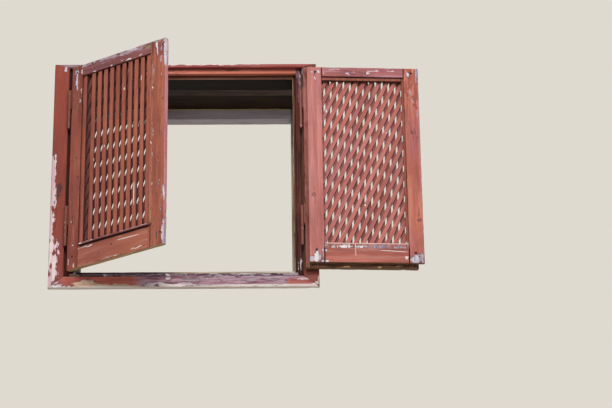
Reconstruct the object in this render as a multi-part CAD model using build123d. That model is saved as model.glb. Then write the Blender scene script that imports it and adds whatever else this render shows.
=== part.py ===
"""Shuttered window: a timber window for a stone wall, with two lattice shutter leaves.

X runs along the wall to the right as seen from outdoors, Y runs into the wall, and Z is up.
The wall's outer face is the plane Y = 0, and the origin is the middle of the back of the
bottom casing board. The left leaf stands ajar and the right leaf lies folded back.
"""

import math
import os

from build123d import *

# Casing boards on the face of the wall
casing_width = 1018
casing_height = 945
casing_thickness = 18
side_casing_width = 57
bottom_casing_height = 46
head_casing_height = 15
casing_arris = 2

# Outer frame and its stops, set in the reveal
frame_depth = 20
frame_lap_under_casing = 18
stop_reveal = 13
stop_head_reveal = 15
stop_sill_rise = 14
stop_depth = 91

# Boards over the opening, between the outer and the inner frame
soffit_front_depth = 53
soffit_rear_depth = 123
soffit_thickness = 24
soffit_step = 3

# Inner frame
inner_frame_depth = 48
inner_jamb_reveal = 3
inner_head_drop = 46
inner_sill_rise = 105
inner_member_thickness = 40

# Shutter leaves
leaf_side_gap = 13
leaf_top_gap = 8
leaf_bottom_gap = 19
leaf_sill_gap = 1
right_leaf_top_drop = 8
outer_board_thickness = 20
inner_board_thickness = 18
side_lip_width = 14
top_lip_width = 16
bottom_lip_width = 15
lip_seat_gap = 5
rebate_clearance = 5
meeting_gap = 5
meeting_lap = 16

# Members of a leaf, seen from outdoors
outer_hinge_stile_width = 49
left_meeting_stile_width = 70
right_meeting_stile_width = 60
outer_top_rail_height = 48
outer_bottom_rail_height = 88

# Members of a leaf, seen from the room
inner_hinge_stile_width = 56
inner_meeting_stile_width = 57
inner_top_rail_height = 40
inner_bottom_rail_height = 59
side_bead_width = 9
top_bead_height = 16
bottom_bead_height = 23.5
bead_thickness = 13
bead_joint_gap = 0.4

# Two-layer lattice
slat_thickness = 7
upright_slat_width = 18
left_upright_count = 10
left_first_gap = 43
left_last_gap = 3.5
right_upright_count = 13
right_first_gap = 11.5
right_last_gap = 8
diagonal_slat_width = 16.5
diagonal_slat_pitch = 29.85
diagonal_slat_slope = 65.2
diagonal_slat_offset = 2
slat_end_gap = 0.5
shortest_slat = 8

# Drip strip across the foot of the lattice, proud of the outer boards
drip_height = 9
drip_projection = 7
drip_end_margin = 8
drip_overlap = 12
drip_chamfer = 2

# Lift-off hinges
hinge_length = 165
upper_hinge_drop = 180
lower_hinge_rise = 184
knuckle_radius = 5.5
knuckle_casing_gap = 3.5
knuckle_end_chamfer = 1.5
knuckle_parting = 0.5
hinge_axis_inset = 4
pin_radius = 2.5
pin_clearance = 0.05
pin_length = 70
pin_end_room = 2
neck_half = 1.5
hinge_plate_thickness = 3
hinge_plate_margin = 2

# Rest pose: opening angle of each leaf, 0 when it is shut
left_leaf_opening = 33.9
right_leaf_opening = 182.6

# Heights and half widths that the pieces share
casing_bottom = -bottom_casing_height / 2
casing_top = casing_bottom + casing_height
opening_bottom = casing_bottom + bottom_casing_height
opening_top = casing_top - head_casing_height
opening_half = casing_width / 2 - side_casing_width
leaf_edge = opening_half - leaf_side_gap
frame_inner_half = leaf_edge - side_lip_width + rebate_clearance
stop_inner_half = frame_inner_half - stop_reveal
frame_outer_half = opening_half + frame_lap_under_casing
frame_outer_top = opening_top + min(frame_lap_under_casing, head_casing_height)

# Vertical places of the leaves and of the frame that receives them
leaf_bottom = opening_bottom + leaf_bottom_gap
leaf_top = opening_top - leaf_top_gap
inner_board_bottom = leaf_bottom + bottom_lip_width
inner_board_top = leaf_top - top_lip_width
outer_board_top = {"left": leaf_top, "right": leaf_top - right_leaf_top_drop}
sill_top = leaf_bottom - leaf_sill_gap
head_bottom = inner_board_top + rebate_clearance
stop_sill_top = sill_top + stop_sill_rise
stop_head_bottom = head_bottom - stop_head_reveal

# Hinge axes and the depth of the leaf's layers when it is shut
hinge_axis_x = opening_half - hinge_axis_inset
hinge_axis_y = -casing_thickness - knuckle_casing_gap - knuckle_radius
leaf_split = -lip_seat_gap
leaf_front = leaf_split - outer_board_thickness
leaf_back = leaf_split + inner_board_thickness
leaf_side = {"left": -1, "right": 1}
leaf_opening = {"left": left_leaf_opening, "right": right_leaf_opening}
outer_y = (leaf_front, leaf_split)
inner_y = (leaf_split, leaf_back)

# Reach of the longer and the shorter layer of a leaf, measured from its hinge edge
long_reach = leaf_edge + meeting_lap / 2
short_reach = leaf_edge - meeting_lap / 2 - meeting_gap
lattice_outer_end = {
    "left": long_reach - left_meeting_stile_width,
    "right": long_reach - right_meeting_stile_width,
}
bead_end = long_reach - inner_meeting_stile_width
bead_start = bead_end - side_bead_width
lattice_inner_start = side_lip_width + inner_hinge_stile_width

# Lattice opening and hinge split
lattice_bottom = leaf_bottom + outer_bottom_rail_height
lattice_top = leaf_top - outer_top_rail_height
bead_bottom = inner_board_bottom + inner_bottom_rail_height
bead_top = inner_board_top - inner_top_rail_height
upright_back = leaf_split - slat_thickness
upright_front = upright_back - slat_thickness
upright_count = {"left": left_upright_count, "right": right_upright_count}
first_gap = {"left": left_first_gap, "right": right_first_gap}
last_gap = {"left": left_last_gap, "right": right_last_gap}
smallest_slat = diagonal_slat_width * slat_thickness * shortest_slat


def block(x_ends, y_ends, z_ends):
    """Rectangular block between the given ends, which may come in either order."""
    low = [min(ends) for ends in (x_ends, y_ends, z_ends)]
    size = [max(ends) - min(ends) for ends in (x_ends, y_ends, z_ends)]
    return Pos(*low) * Box(*size, align=(Align.MIN, Align.MIN, Align.MIN))


def upright_plate(points, front, back):
    """Flat board in the plane of the wall, from an outline of X and Z points."""
    outline = Plane.XZ.offset(-back) * make_face(Polyline(*points, close=True))
    return extrude(outline, amount=back - front, dir=(0, -1, 0))


def ease_front(board):
    """Ease the long front edges of a casing board."""
    front_edges = board.faces().sort_by(Axis.Y)[0].edges().sort_by(Edge.length)[-2:]
    return chamfer(front_edges, casing_arris)


def casing_boards():
    """Four boards round the opening, mitred at the corners."""
    half = casing_width / 2
    boards = {}
    for name, side in leaf_side.items():
        boards[f"casing_{name}"] = upright_plate(
            [
                (side * opening_half, opening_bottom),
                (side * half, casing_bottom),
                (side * half, casing_top),
                (side * opening_half, opening_top),
            ],
            -casing_thickness,
            0,
        )
    for name, outer, inner in (
        ("casing_bottom", casing_bottom, opening_bottom),
        ("casing_head", casing_top, opening_top),
    ):
        boards[name] = upright_plate(
            [
                (-half, outer),
                (half, outer),
                (opening_half, inner),
                (-opening_half, inner),
            ],
            -casing_thickness,
            0,
        )
    return {name: ease_front(board) for name, board in boards.items()}


def frame_ring(prefix, half, bottom, top, y_ends, outer):
    """Two jambs with a head and a sill between them, on one depth of the reveal."""
    outer_half, outer_bottom, outer_top = outer
    ring = {}
    for name, side in leaf_side.items():
        ring[f"{prefix}_{name}_jamb"] = block(
            (side * half, side * outer_half), y_ends, (outer_bottom, outer_top)
        )
    ring[f"{prefix}_head"] = block((-half, half), y_ends, (top, outer_top))
    ring[f"{prefix}_sill"] = block((-half, half), y_ends, (outer_bottom, bottom))
    return ring


def outer_frame():
    """Painted frame behind the casing, and the stops that the leaves shut against."""
    outer = (frame_outer_half, opening_bottom, frame_outer_top)
    frame = frame_ring(
        "frame", frame_inner_half, sill_top, head_bottom, (0, frame_depth), outer
    )
    stops = frame_ring(
        "stop",
        stop_inner_half,
        stop_sill_top,
        stop_head_bottom,
        (frame_depth, frame_depth + stop_depth),
        outer,
    )
    return {**frame, **stops}


def soffit_boards():
    """Two boards over the opening, each a little higher than the one before it."""
    front_start = frame_depth + stop_depth
    rear_start = front_start + soffit_front_depth
    rear_end = rear_start + soffit_rear_depth
    front_bottom = stop_head_bottom + soffit_step
    rear_bottom = front_bottom + soffit_step
    return {
        "soffit_front_board": block(
            (-frame_outer_half, frame_outer_half),
            (front_start, rear_start),
            (front_bottom, front_bottom + soffit_thickness),
        ),
        "soffit_rear_board": block(
            (-frame_outer_half, frame_outer_half),
            (rear_start, rear_end),
            (rear_bottom, rear_bottom + soffit_thickness),
        ),
    }


def inner_frame():
    """Window frame on the room side of the wall, below the soffit boards."""
    start = frame_depth + stop_depth + soffit_front_depth + soffit_rear_depth
    half = stop_inner_half - inner_jamb_reveal
    rear_bottom = stop_head_bottom + 2 * soffit_step
    top = rear_bottom - inner_head_drop
    bottom = stop_sill_top + inner_sill_rise
    outer = (
        half + inner_member_thickness,
        bottom - inner_member_thickness,
        rear_bottom + soffit_thickness,
    )
    return frame_ring(
        "inner", half, bottom, top, (start, start + inner_frame_depth), outer
    )


def leaf_block(leaf, u_ends, y_ends, z_ends):
    """Block of a shut leaf, with U measured from its hinge edge to its meeting edge."""
    side = leaf_side[leaf]
    x_ends = [side * (leaf_edge - u) for u in u_ends]
    return block(x_ends, y_ends, z_ends)


def leaf_stiles(leaf):
    """Upright members, each an outer board with a lip and an inner board behind it."""
    outer_z = (leaf_bottom, outer_board_top[leaf])
    inner_z = (inner_board_bottom, inner_board_top)
    hinge_stile = leaf_block(
        leaf, (0, outer_hinge_stile_width), outer_y, outer_z
    ) + leaf_block(leaf, (side_lip_width, lattice_inner_start), inner_y, inner_z)
    meeting_stile = leaf_block(
        leaf, (lattice_outer_end[leaf], short_reach), outer_y, outer_z
    ) + leaf_block(leaf, (bead_end, short_reach), inner_y, inner_z)
    if leaf == "left":
        lap_y = outer_y
        lap_z = outer_z
    else:
        lap_y = (leaf_split + meeting_gap, leaf_back)
        lap_z = inner_z
    meeting_stile += leaf_block(leaf, (short_reach, long_reach), lap_y, lap_z)
    return {"hinge_stile": hinge_stile, "meeting_stile": meeting_stile}


def leaf_rails(leaf):
    """Top and bottom rails between the stiles, in the same two layers."""
    outer_u = (outer_hinge_stile_width, lattice_outer_end[leaf])
    inner_u = (lattice_inner_start, bead_end)
    top_rail = leaf_block(
        leaf, outer_u, outer_y, (lattice_top, outer_board_top[leaf])
    ) + leaf_block(leaf, inner_u, inner_y, (bead_top, inner_board_top))
    bottom_rail = leaf_block(
        leaf, outer_u, outer_y, (leaf_bottom, lattice_bottom)
    ) + leaf_block(leaf, inner_u, inner_y, (inner_board_bottom, bead_bottom))
    return {"top_rail": top_rail, "bottom_rail": bottom_rail}


def lattice_beads(leaf):
    """Thin boards that carry the lattice along three sides of the inner opening."""
    bead_y = (leaf_split, leaf_split + bead_thickness)
    cross_u = (lattice_inner_start, bead_start - bead_joint_gap)
    top_z = (bead_top - top_bead_height, bead_top)
    bottom_z = (bead_bottom, bead_bottom + bottom_bead_height)
    beads = [
        leaf_block(leaf, cross_u, bead_y, top_z),
        leaf_block(leaf, cross_u, bead_y, bottom_z),
        leaf_block(leaf, (bead_start, bead_end), bead_y, (bead_bottom, bead_top)),
    ]
    return Compound(children=beads)


def drip_strip(leaf):
    """Strip across the foot of the lattice, proud of the leaf, with a chamfered top."""
    start = outer_hinge_stile_width + drip_end_margin
    end = lattice_outer_end[leaf]
    drip_z = (lattice_bottom, lattice_bottom + drip_height)
    nose = leaf_block(
        leaf, (start, end + drip_overlap), (leaf_front - drip_projection, leaf_front), drip_z
    )
    front_edges = nose.faces().sort_by(Axis.Y)[0].edges()
    nose = chamfer(front_edges.sort_by(Axis.Z)[-1], drip_chamfer)
    return nose + leaf_block(leaf, (start, end), (leaf_front, upright_front), drip_z)


def upright_slats(leaf):
    """Outer layer of the lattice: upright slats, spread evenly between two gaps."""
    opening_start = outer_hinge_stile_width
    starts = []
    if leaf == "left":
        starts.append(opening_start + slat_end_gap)
    first = opening_start + first_gap[leaf]
    last = lattice_outer_end[leaf] - last_gap[leaf] - upright_slat_width
    pitch = (last - first) / (upright_count[leaf] - 1)
    starts += [first + index * pitch for index in range(upright_count[leaf])]
    slats = [
        leaf_block(
            leaf,
            (start, start + upright_slat_width),
            (upright_front, upright_back),
            (lattice_bottom + slat_end_gap, lattice_top - slat_end_gap),
        )
        for start in starts
    ]
    return Compound(children=slats)


def diagonal_slats(leaf):
    """Inner layer of the lattice: slats that climb away from the hinge stile."""
    side = leaf_side[leaf]
    first = outer_hinge_stile_width + slat_end_gap
    last = lattice_outer_end[leaf] - slat_end_gap
    low = lattice_bottom + slat_end_gap
    high = lattice_top - slat_end_gap
    opening = leaf_block(leaf, (first, last), (upright_back, leaf_split), (low, high))
    middle_z = (low + high) / 2
    run = (high - low) / math.tan(math.radians(diagonal_slat_slope))
    extra = math.ceil(run / 2 / diagonal_slat_pitch) + 1
    count = math.ceil((last - first) / diagonal_slat_pitch)
    length = 2 * (high - low)
    slats = []
    for index in range(-extra, count + extra):
        u = outer_hinge_stile_width + diagonal_slat_offset + index * diagonal_slat_pitch
        place = Pos(side * (leaf_edge - u), (upright_back + leaf_split) / 2, middle_z)
        turn = Rot(0, side * (diagonal_slat_slope - 90), 0)
        bar = place * turn * Box(diagonal_slat_width, slat_thickness, length)
        piece = bar & opening
        if piece:
            slats += [solid for solid in piece.solids() if solid.volume > smallest_slat]
    return Compound(children=slats)


def hinge(leaf, height):
    """Lift-off hinge: a lower half with the pin on the casing, an upper half on the leaf."""
    side = leaf_side[leaf]
    axis_x = side * hinge_axis_x
    half_length = (hinge_length - knuckle_parting) / 2
    bottom = height - hinge_length / 2
    parting = bottom + half_length
    top = height + hinge_length / 2
    align = (Align.CENTER, Align.CENTER, Align.MIN)
    casing_edge = side * opening_half
    neck_y = (hinge_axis_y - neck_half, hinge_axis_y + neck_half)

    knuckle = Cylinder(knuckle_radius, half_length, align=align)
    lower_knuckle = chamfer(knuckle.edges().sort_by(Axis.Z)[0], knuckle_end_chamfer)
    upper_knuckle = chamfer(knuckle.edges().sort_by(Axis.Z)[-1], knuckle_end_chamfer)

    frame_half = Pos(axis_x, hinge_axis_y, bottom) * lower_knuckle
    frame_half += Pos(axis_x, hinge_axis_y, bottom) * Cylinder(
        pin_radius, half_length + pin_length, align=align
    )
    frame_half += block(
        (casing_edge - side * hinge_plate_thickness, casing_edge),
        (hinge_axis_y, -hinge_plate_margin),
        (bottom, parting),
    )

    leaf_half = Pos(axis_x, hinge_axis_y, parting + knuckle_parting) * upper_knuckle
    edge = side * leaf_edge
    plate_end = edge + side * hinge_plate_thickness
    leaf_half += block(
        (plate_end, edge),
        (neck_y[0], leaf_split - hinge_plate_margin),
        (parting + knuckle_parting, top),
    )
    leaf_half += block(
        (plate_end, axis_x - side * pin_radius),
        neck_y,
        (parting + knuckle_parting, top),
    )
    leaf_half -= Pos(axis_x, hinge_axis_y, parting) * Cylinder(
        pin_radius + pin_clearance, pin_length + pin_end_room, align=align
    )
    return frame_half, leaf_half


def shut_leaf(leaf):
    """All wooden pieces of one leaf, as it stands when it is shut."""
    pieces = {**leaf_stiles(leaf), **leaf_rails(leaf)}
    pieces["lattice_beads"] = lattice_beads(leaf)
    pieces["drip_strip"] = drip_strip(leaf)
    pieces["upright_slats"] = upright_slats(leaf)
    pieces["diagonal_slats"] = diagonal_slats(leaf)
    return pieces


def swing(leaf, piece):
    """Turn a piece of a shut leaf about its hinges into the rest pose."""
    side = leaf_side[leaf]
    hinge_line = Axis((side * hinge_axis_x, hinge_axis_y, 0), (0, 0, 1))
    return piece.rotate(hinge_line, side * leaf_opening[leaf])


def shuttered_window():
    """Every named piece of the window, in the rest pose."""
    pieces = {**casing_boards(), **outer_frame(), **soffit_boards(), **inner_frame()}
    hinge_heights = {
        "upper": leaf_top - upper_hinge_drop,
        "lower": leaf_bottom + lower_hinge_rise,
    }
    for leaf in leaf_side:
        for name, piece in shut_leaf(leaf).items():
            pieces[f"{leaf}_leaf_{name}"] = swing(leaf, piece)
        for level, height in hinge_heights.items():
            frame_half, leaf_half = hinge(leaf, height)
            pieces[f"{leaf}_{level}_hinge_frame_half"] = frame_half
            pieces[f"{leaf}_{level}_hinge_leaf_half"] = swing(leaf, leaf_half)
    return pieces


os.makedirs("parts", exist_ok=True)
for piece_name, piece in shuttered_window().items():
    export_step(piece, f"parts/{piece_name}.step")
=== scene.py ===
import math

import bmesh
import bpy
from mathutils import Matrix, Vector, noise


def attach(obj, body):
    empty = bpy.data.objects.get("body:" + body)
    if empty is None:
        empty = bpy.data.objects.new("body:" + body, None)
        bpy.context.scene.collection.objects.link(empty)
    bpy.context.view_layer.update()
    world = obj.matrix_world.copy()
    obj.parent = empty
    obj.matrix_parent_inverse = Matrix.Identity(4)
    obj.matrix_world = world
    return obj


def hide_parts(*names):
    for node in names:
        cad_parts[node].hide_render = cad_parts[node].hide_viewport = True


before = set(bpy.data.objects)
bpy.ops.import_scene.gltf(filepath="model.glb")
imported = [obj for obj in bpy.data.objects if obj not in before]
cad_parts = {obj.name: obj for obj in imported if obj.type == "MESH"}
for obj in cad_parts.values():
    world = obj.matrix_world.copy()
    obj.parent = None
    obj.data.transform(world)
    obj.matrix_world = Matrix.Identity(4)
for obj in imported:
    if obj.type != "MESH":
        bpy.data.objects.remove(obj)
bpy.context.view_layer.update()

print("frame loaded:", len(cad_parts), "nodes")

scene = bpy.context.scene
scene.view_settings.view_transform = "Standard"
# the waves and chips of the boards come out the same on every run
noise.seed_set(5)


def hexColor(code):
    parts = [int(code[i:i + 2], 16) / 255 for i in (1, 3, 5)]
    return tuple(c / 12.92 if c <= 0.04045 else ((c + 0.055) / 1.055) ** 2.4 for c in parts) + (1.0,)


def addNode(tree, kind, entries=None):
    # an entry is a socket to link, a setting of the node, or the value of one of its inputs
    node = tree.nodes.new(kind)
    for key, value in (entries or {}).items():
        if isinstance(value, bpy.types.NodeSocket):
            tree.links.new(value, node.inputs[key])
        elif isinstance(key, str) and hasattr(node, key):
            setattr(node, key, value)
        else:
            node.inputs[key].default_value = hexColor(value) if isinstance(value, str) else value
    return node


def newMaterial(name):
    material = bpy.data.materials.new(name)
    material.use_nodes = True
    material.node_tree.nodes.clear()
    return material, material.node_tree


def newPiece(name, mesh, finish):
    # the bmesh becomes an object of one material and is freed
    data = bpy.data.meshes.new(name)
    mesh.to_mesh(data)
    mesh.free()
    data.materials.append(finish)
    piece = bpy.data.objects.new(name, data)
    scene.collection.objects.link(piece)
    return piece


# camera, fitted to the corners of the casing and the leaves
camera = {"place": (0.2612, -8.0808, -3.3922), "pitch": 24.698, "yaw": 1.43, "roll": -0.862, "lens": 137.12}


def makeCamera(look):
    data = bpy.data.cameras.new("windowCamera")
    data.lens = look["lens"]
    data.sensor_width = 36
    data.clip_end = 200
    eye = bpy.data.objects.new("windowCamera", data)
    scene.collection.objects.link(eye)
    pitch, yaw, roll = (math.radians(look[k]) for k in ("pitch", "yaw", "roll"))
    flat = Vector((math.sin(yaw), math.cos(yaw), 0))
    across = Vector((math.cos(yaw), -math.sin(yaw), 0))
    ahead = flat * math.cos(pitch) + Vector((0, 0, math.sin(pitch)))
    above = -flat * math.sin(pitch) + Vector((0, 0, math.cos(pitch)))
    across, above = (across * math.cos(roll) + above * math.sin(roll),
                     above * math.cos(roll) - across * math.sin(roll))
    turned = Matrix((across, above, -ahead)).transposed().to_4x4()
    eye.matrix_world = Matrix.Translation(look["place"]) @ turned
    scene.camera = eye


makeCamera(camera)

# studio: pale surroundings, soft sky, one wide lamp from the front
studio = {
    "backdrop": "#DFDAD0", "sky": "#F4F6FA",
    "skyTop": 1.02, "skyLow": 0.34, "skyTopRise": 0.55, "skyLowRise": -0.35,
    "lampPlace": (0.2, -6.4, 4.4), "lampAim": (0.15, 0.0, 0.45),
    "lampSize": 2.6, "lampPower": 299, "lampColour": "#FFF8EF",
    "floorHeight": -4.3, "floorReach": 40, "floorPaint": "#A09A92", "floorSeen": "#EBE3D5",
}


def seenRays(tree):
    # full for the rays that are looked at, mirrored or seen through glass
    rays = addNode(tree, "ShaderNodeLightPath").outputs
    seen = addNode(tree, "ShaderNodeMath", {
        "operation": "MAXIMUM", 0: rays["Is Camera Ray"], 1: rays["Is Glossy Ray"]}).outputs[0]
    return addNode(tree, "ShaderNodeMath", {
        "operation": "MAXIMUM", 0: seen, 1: rays["Is Transmission Ray"]}).outputs[0]


def makeSky(look):
    world = bpy.data.worlds.new("softStudio")
    scene.world = world
    world.use_nodes = True
    tree = world.node_tree
    tree.nodes.clear()
    seen = seenRays(tree)
    # more light comes from above than from below
    way = addNode(tree, "ShaderNodeTexCoord").outputs["Generated"]
    rise = addNode(tree, "ShaderNodeSeparateXYZ", {0: way}).outputs["Z"]
    level = addNode(tree, "ShaderNodeMapRange", {
        "Value": rise, "From Min": look["skyLowRise"], "From Max": look["skyTopRise"],
        "To Min": look["skyLow"], "To Max": look["skyTop"]}).outputs[0]
    strength = addNode(tree, "ShaderNodeMix", {"data_type": "FLOAT", 0: seen, 2: level, 3: 1.0}).outputs[0]
    colour = addNode(tree, "ShaderNodeMix", {
        "data_type": "RGBA", 0: seen, 6: look["sky"], 7: look["backdrop"]}).outputs[2]
    glow = addNode(tree, "ShaderNodeBackground", {"Color": colour, "Strength": strength}).outputs[0]
    addNode(tree, "ShaderNodeOutputWorld", {"Surface": glow})


def makeLamp(look):
    data = bpy.data.lights.new("softLamp", "AREA")
    data.shape = "DISK"
    data.size = look["lampSize"]
    data.energy = look["lampPower"]
    data.color = hexColor(look["lampColour"])[:3]
    lamp = bpy.data.objects.new("softLamp", data)
    scene.collection.objects.link(lamp)
    lamp.location = look["lampPlace"]
    aim = Vector(look["lampAim"]) - Vector(look["lampPlace"])
    lamp.rotation_euler = aim.to_track_quat("-Z", "Y").to_euler()


def makeFloor(look):
    # matt floor paint: pale wherever it is looked at or mirrored, darker as a source of bounced light
    paint, tree = newMaterial("mattFloorPaint")
    shade = addNode(tree, "ShaderNodeMix", {
        "data_type": "RGBA", 0: seenRays(tree), 6: look["floorPaint"], 7: look["floorSeen"]}).outputs[2]
    surface = addNode(tree, "ShaderNodeBsdfDiffuse", {"Color": shade}).outputs[0]
    addNode(tree, "ShaderNodeOutputMaterial", {"Surface": surface})
    mesh = bmesh.new()
    bmesh.ops.create_grid(mesh, x_segments=2, y_segments=2, size=look["floorReach"])
    bmesh.ops.translate(mesh, verts=mesh.verts, vec=(0, 0, look["floorHeight"]))
    floor = newPiece("studioFloor", mesh, paint)


makeSky(studio)
makeLamp(studio)
makeFloor(studio)
print("camera and studio made")

# each leaf's own axes: x runs from the hinge, y inwards when shut, z up
leafAxes = {
    "left": {"pivot": (-0.448, -0.027, 0.0), "turn": -33.9, "sign": 1},
    "right": {"pivot": (0.448, -0.027, 0.0), "turn": 182.6, "sign": -1},
}
# the edge of a leaf stands this many millimetres off its hinge axis
hingeInset = 9
# depth in metres of the face that a mark lies on: the window's own, then the leaf's own
faceDepth = {
    "casing": -0.018, "frame": 0.0, "stop": 0.020, "inner": 0.287,
    "drip": -0.005, "outside": 0.002, "slat": 0.008, "lattice": 0.022, "lip": 0.022, "bead": 0.035,
    "inside": 0.040,
}


def boardSpace(side):
    if side is None:
        return Matrix.Identity(4)
    axes = leafAxes[side]
    return Matrix.Translation(axes["pivot"]) @ Matrix.Rotation(math.radians(axes["turn"]), 4, "Z")


def leafAcross(side, across):
    # millimetres from the leaf's hinge edge, as x in metres in the leaf's axes
    return leafAxes[side]["sign"] * (across + hingeInset) / 1000


# oil paint: widths of its patterns in metres, and how far they are drawn out along the board
oilPaint = {
    "grain": 0.005,  # grain lines are about 2 mm apart, drawn 5 mm apart so that they show
    "streak": 0.014,  # brush marks
    "fading": 0.10,  # patches of fading
    "flake": 0.013, "field": 0.07,  # flakes, and the fields that they gather in
    "fineStretch": 16, "broadStretch": 3.3, "seedStep": 0.731,
    "tear": 0.016, "tearAlong": 0.036, "tearAcross": 0.020,  # torn marks wander by up to a quarter of these
    "arris": 0.004,  # a worn arris is read this far round a corner
    "markDepth": 0.012,  # a mark stays this near to its face
    "speckPitch": 0.016,  # spots 3 mm across, one to a cell
    # how far ambient occlusion reaches, and below, the tone of the painted shade it lays in corners
    "shadeReach": 0.016, "relief": 0.0009,
    "crackTone": "#33201C", "rimTone": "#4A2422", "shadeTone": "#241210",
}


# A board's look: "face" and "along" say where it lies and runs, "paint" and "deep" are the two tones of
# its coat, "chalk" its dry brush marks and "shift" patches of another hue; "peelStart", "edgeWear" and
# "topWear" say how much has flaked off; "undercoat", "underTone", "wood" and "woodDeep" show below.
# A layer of it: "tint" and "fleck" are its two tones, "at" its marks, and "limits" the pairs of values
# between which it fades in along x, y, z or up; "ragged" says how torn its outline is, "rim" is a tone
# round it, "gaps" are the levels of noise that break it up, "sunk" is set where the paint is off, and
# "wander" is False where the outline stays put.


def boardPatterns(tree, look, number):
    # what a board's paint is mixed from: its place, the way it faces, and noises along its grain
    side = look.get("side")
    upright = look["along"] == "z"
    where = addNode(tree, "ShaderNodeTexCoord").outputs["Object"]
    if side:
        axes = leafAxes[side]
        where = addNode(tree, "ShaderNodeMapping", {
            "vector_type": "TEXTURE", "Vector": where, "Location": axes["pivot"],
            "Rotation": (0, 0, math.radians(axes["turn"]))}).outputs[0]
    spot = addNode(tree, "ShaderNodeSeparateXYZ", {0: where}).outputs
    normal = addNode(tree, "ShaderNodeNewGeometry").outputs["Normal"]
    facing = addNode(tree, "ShaderNodeSeparateXYZ", {0: normal}).outputs

    # patterns are drawn out along the board; a leaning slat turns them with its grain
    seed = number * oilPaint["seedStep"]
    lean = math.radians(look.get("lean", 0))
    fine, broad = [addNode(tree, "ShaderNodeMapping", {
        "vector_type": "TEXTURE", "Vector": where, "Location": (seed, seed, seed), "Rotation": (0, lean, 0),
        "Scale": (1, 1, stretch) if upright else (stretch, 1, 1)}).outputs[0]
        for stretch in (oilPaint["fineStretch"], oilPaint["broadStretch"])]
    grain = addNode(tree, "ShaderNodeTexNoise", {
        "Scale": 1 / oilPaint["grain"], "Detail": 3, "Roughness": 0.6, "Vector": fine}).outputs[0]
    streak = addNode(tree, "ShaderNodeTexNoise", {
        "Scale": 1 / oilPaint["streak"], "Detail": 3, "Roughness": 0.55, "Vector": fine}).outputs[0]
    fading = addNode(tree, "ShaderNodeTexNoise", {
        "Scale": 1 / oilPaint["fading"], "Detail": 3, "Vector": broad}).outputs
    hue = addNode(tree, "ShaderNodeSeparateColor", {0: fading[1]}).outputs[1]
    flake = addNode(tree, "ShaderNodeTexNoise", {
        "Scale": 1 / oilPaint["flake"], "Detail": 5, "Roughness": 0.62, "Vector": broad}).outputs[0]
    field = addNode(tree, "ShaderNodeTexNoise", {
        "Scale": 1 / oilPaint["field"], "Detail": 2, "Vector": broad}).outputs[0]
    mottled = addNode(tree, "ShaderNodeMapRange", {
        "interpolation_type": "SMOOTHSTEP", "Value": streak, "From Min": 0.42, "From Max": 0.58}).outputs[0]
    grained = addNode(tree, "ShaderNodeMapRange", {
        "interpolation_type": "SMOOTHSTEP", "Value": grain, "From Min": 0.35, "From Max": 0.65}).outputs[0]

    # torn marks wander off their outline, as flaking paint does
    drift = addNode(tree, "ShaderNodeTexNoise", {
        "Scale": 1 / oilPaint["tear"], "Detail": 4, "Roughness": 0.65, "Vector": where}).outputs[1]
    drift = addNode(tree, "ShaderNodeVectorMath", {
        "operation": "SUBTRACT", 0: drift, 1: (0.5, 0.5, 0.5)}).outputs[0]
    along, across = oilPaint["tearAlong"], oilPaint["tearAcross"]
    drift = addNode(tree, "ShaderNodeVectorMath", {
        "operation": "MULTIPLY", 0: drift,
        1: (across, 0.0, along) if upright else (along, 0.0, across)}).outputs[0]
    wandering = addNode(tree, "ShaderNodeVectorMath", {"operation": "ADD", 0: where, 1: drift}).outputs[0]

    # worn arrises, from the turn of the surface
    rounded = addNode(tree, "ShaderNodeBevel", {"samples": 4, "Radius": oilPaint["arris"]}).outputs[0]
    turn = addNode(tree, "ShaderNodeVectorMath", {
        "operation": "DOT_PRODUCT", 0: rounded, 1: normal}).outputs["Value"]
    edge = addNode(tree, "ShaderNodeMapRange", {
        "interpolation_type": "SMOOTHSTEP", "Value": turn, "From Min": 0.995, "From Max": 0.86}).outputs[0]
    return {
        "where": where, "wandering": wandering, "broad": broad,
        "x": spot[0], "y": spot[1], "z": spot[2], "up": facing[2], "edge": edge,
        "grain": grain, "streak": streak, "fading": fading[0], "hue": hue, "flake": flake, "field": field,
        "mottled": mottled, "grained": grained,
    }


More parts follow.
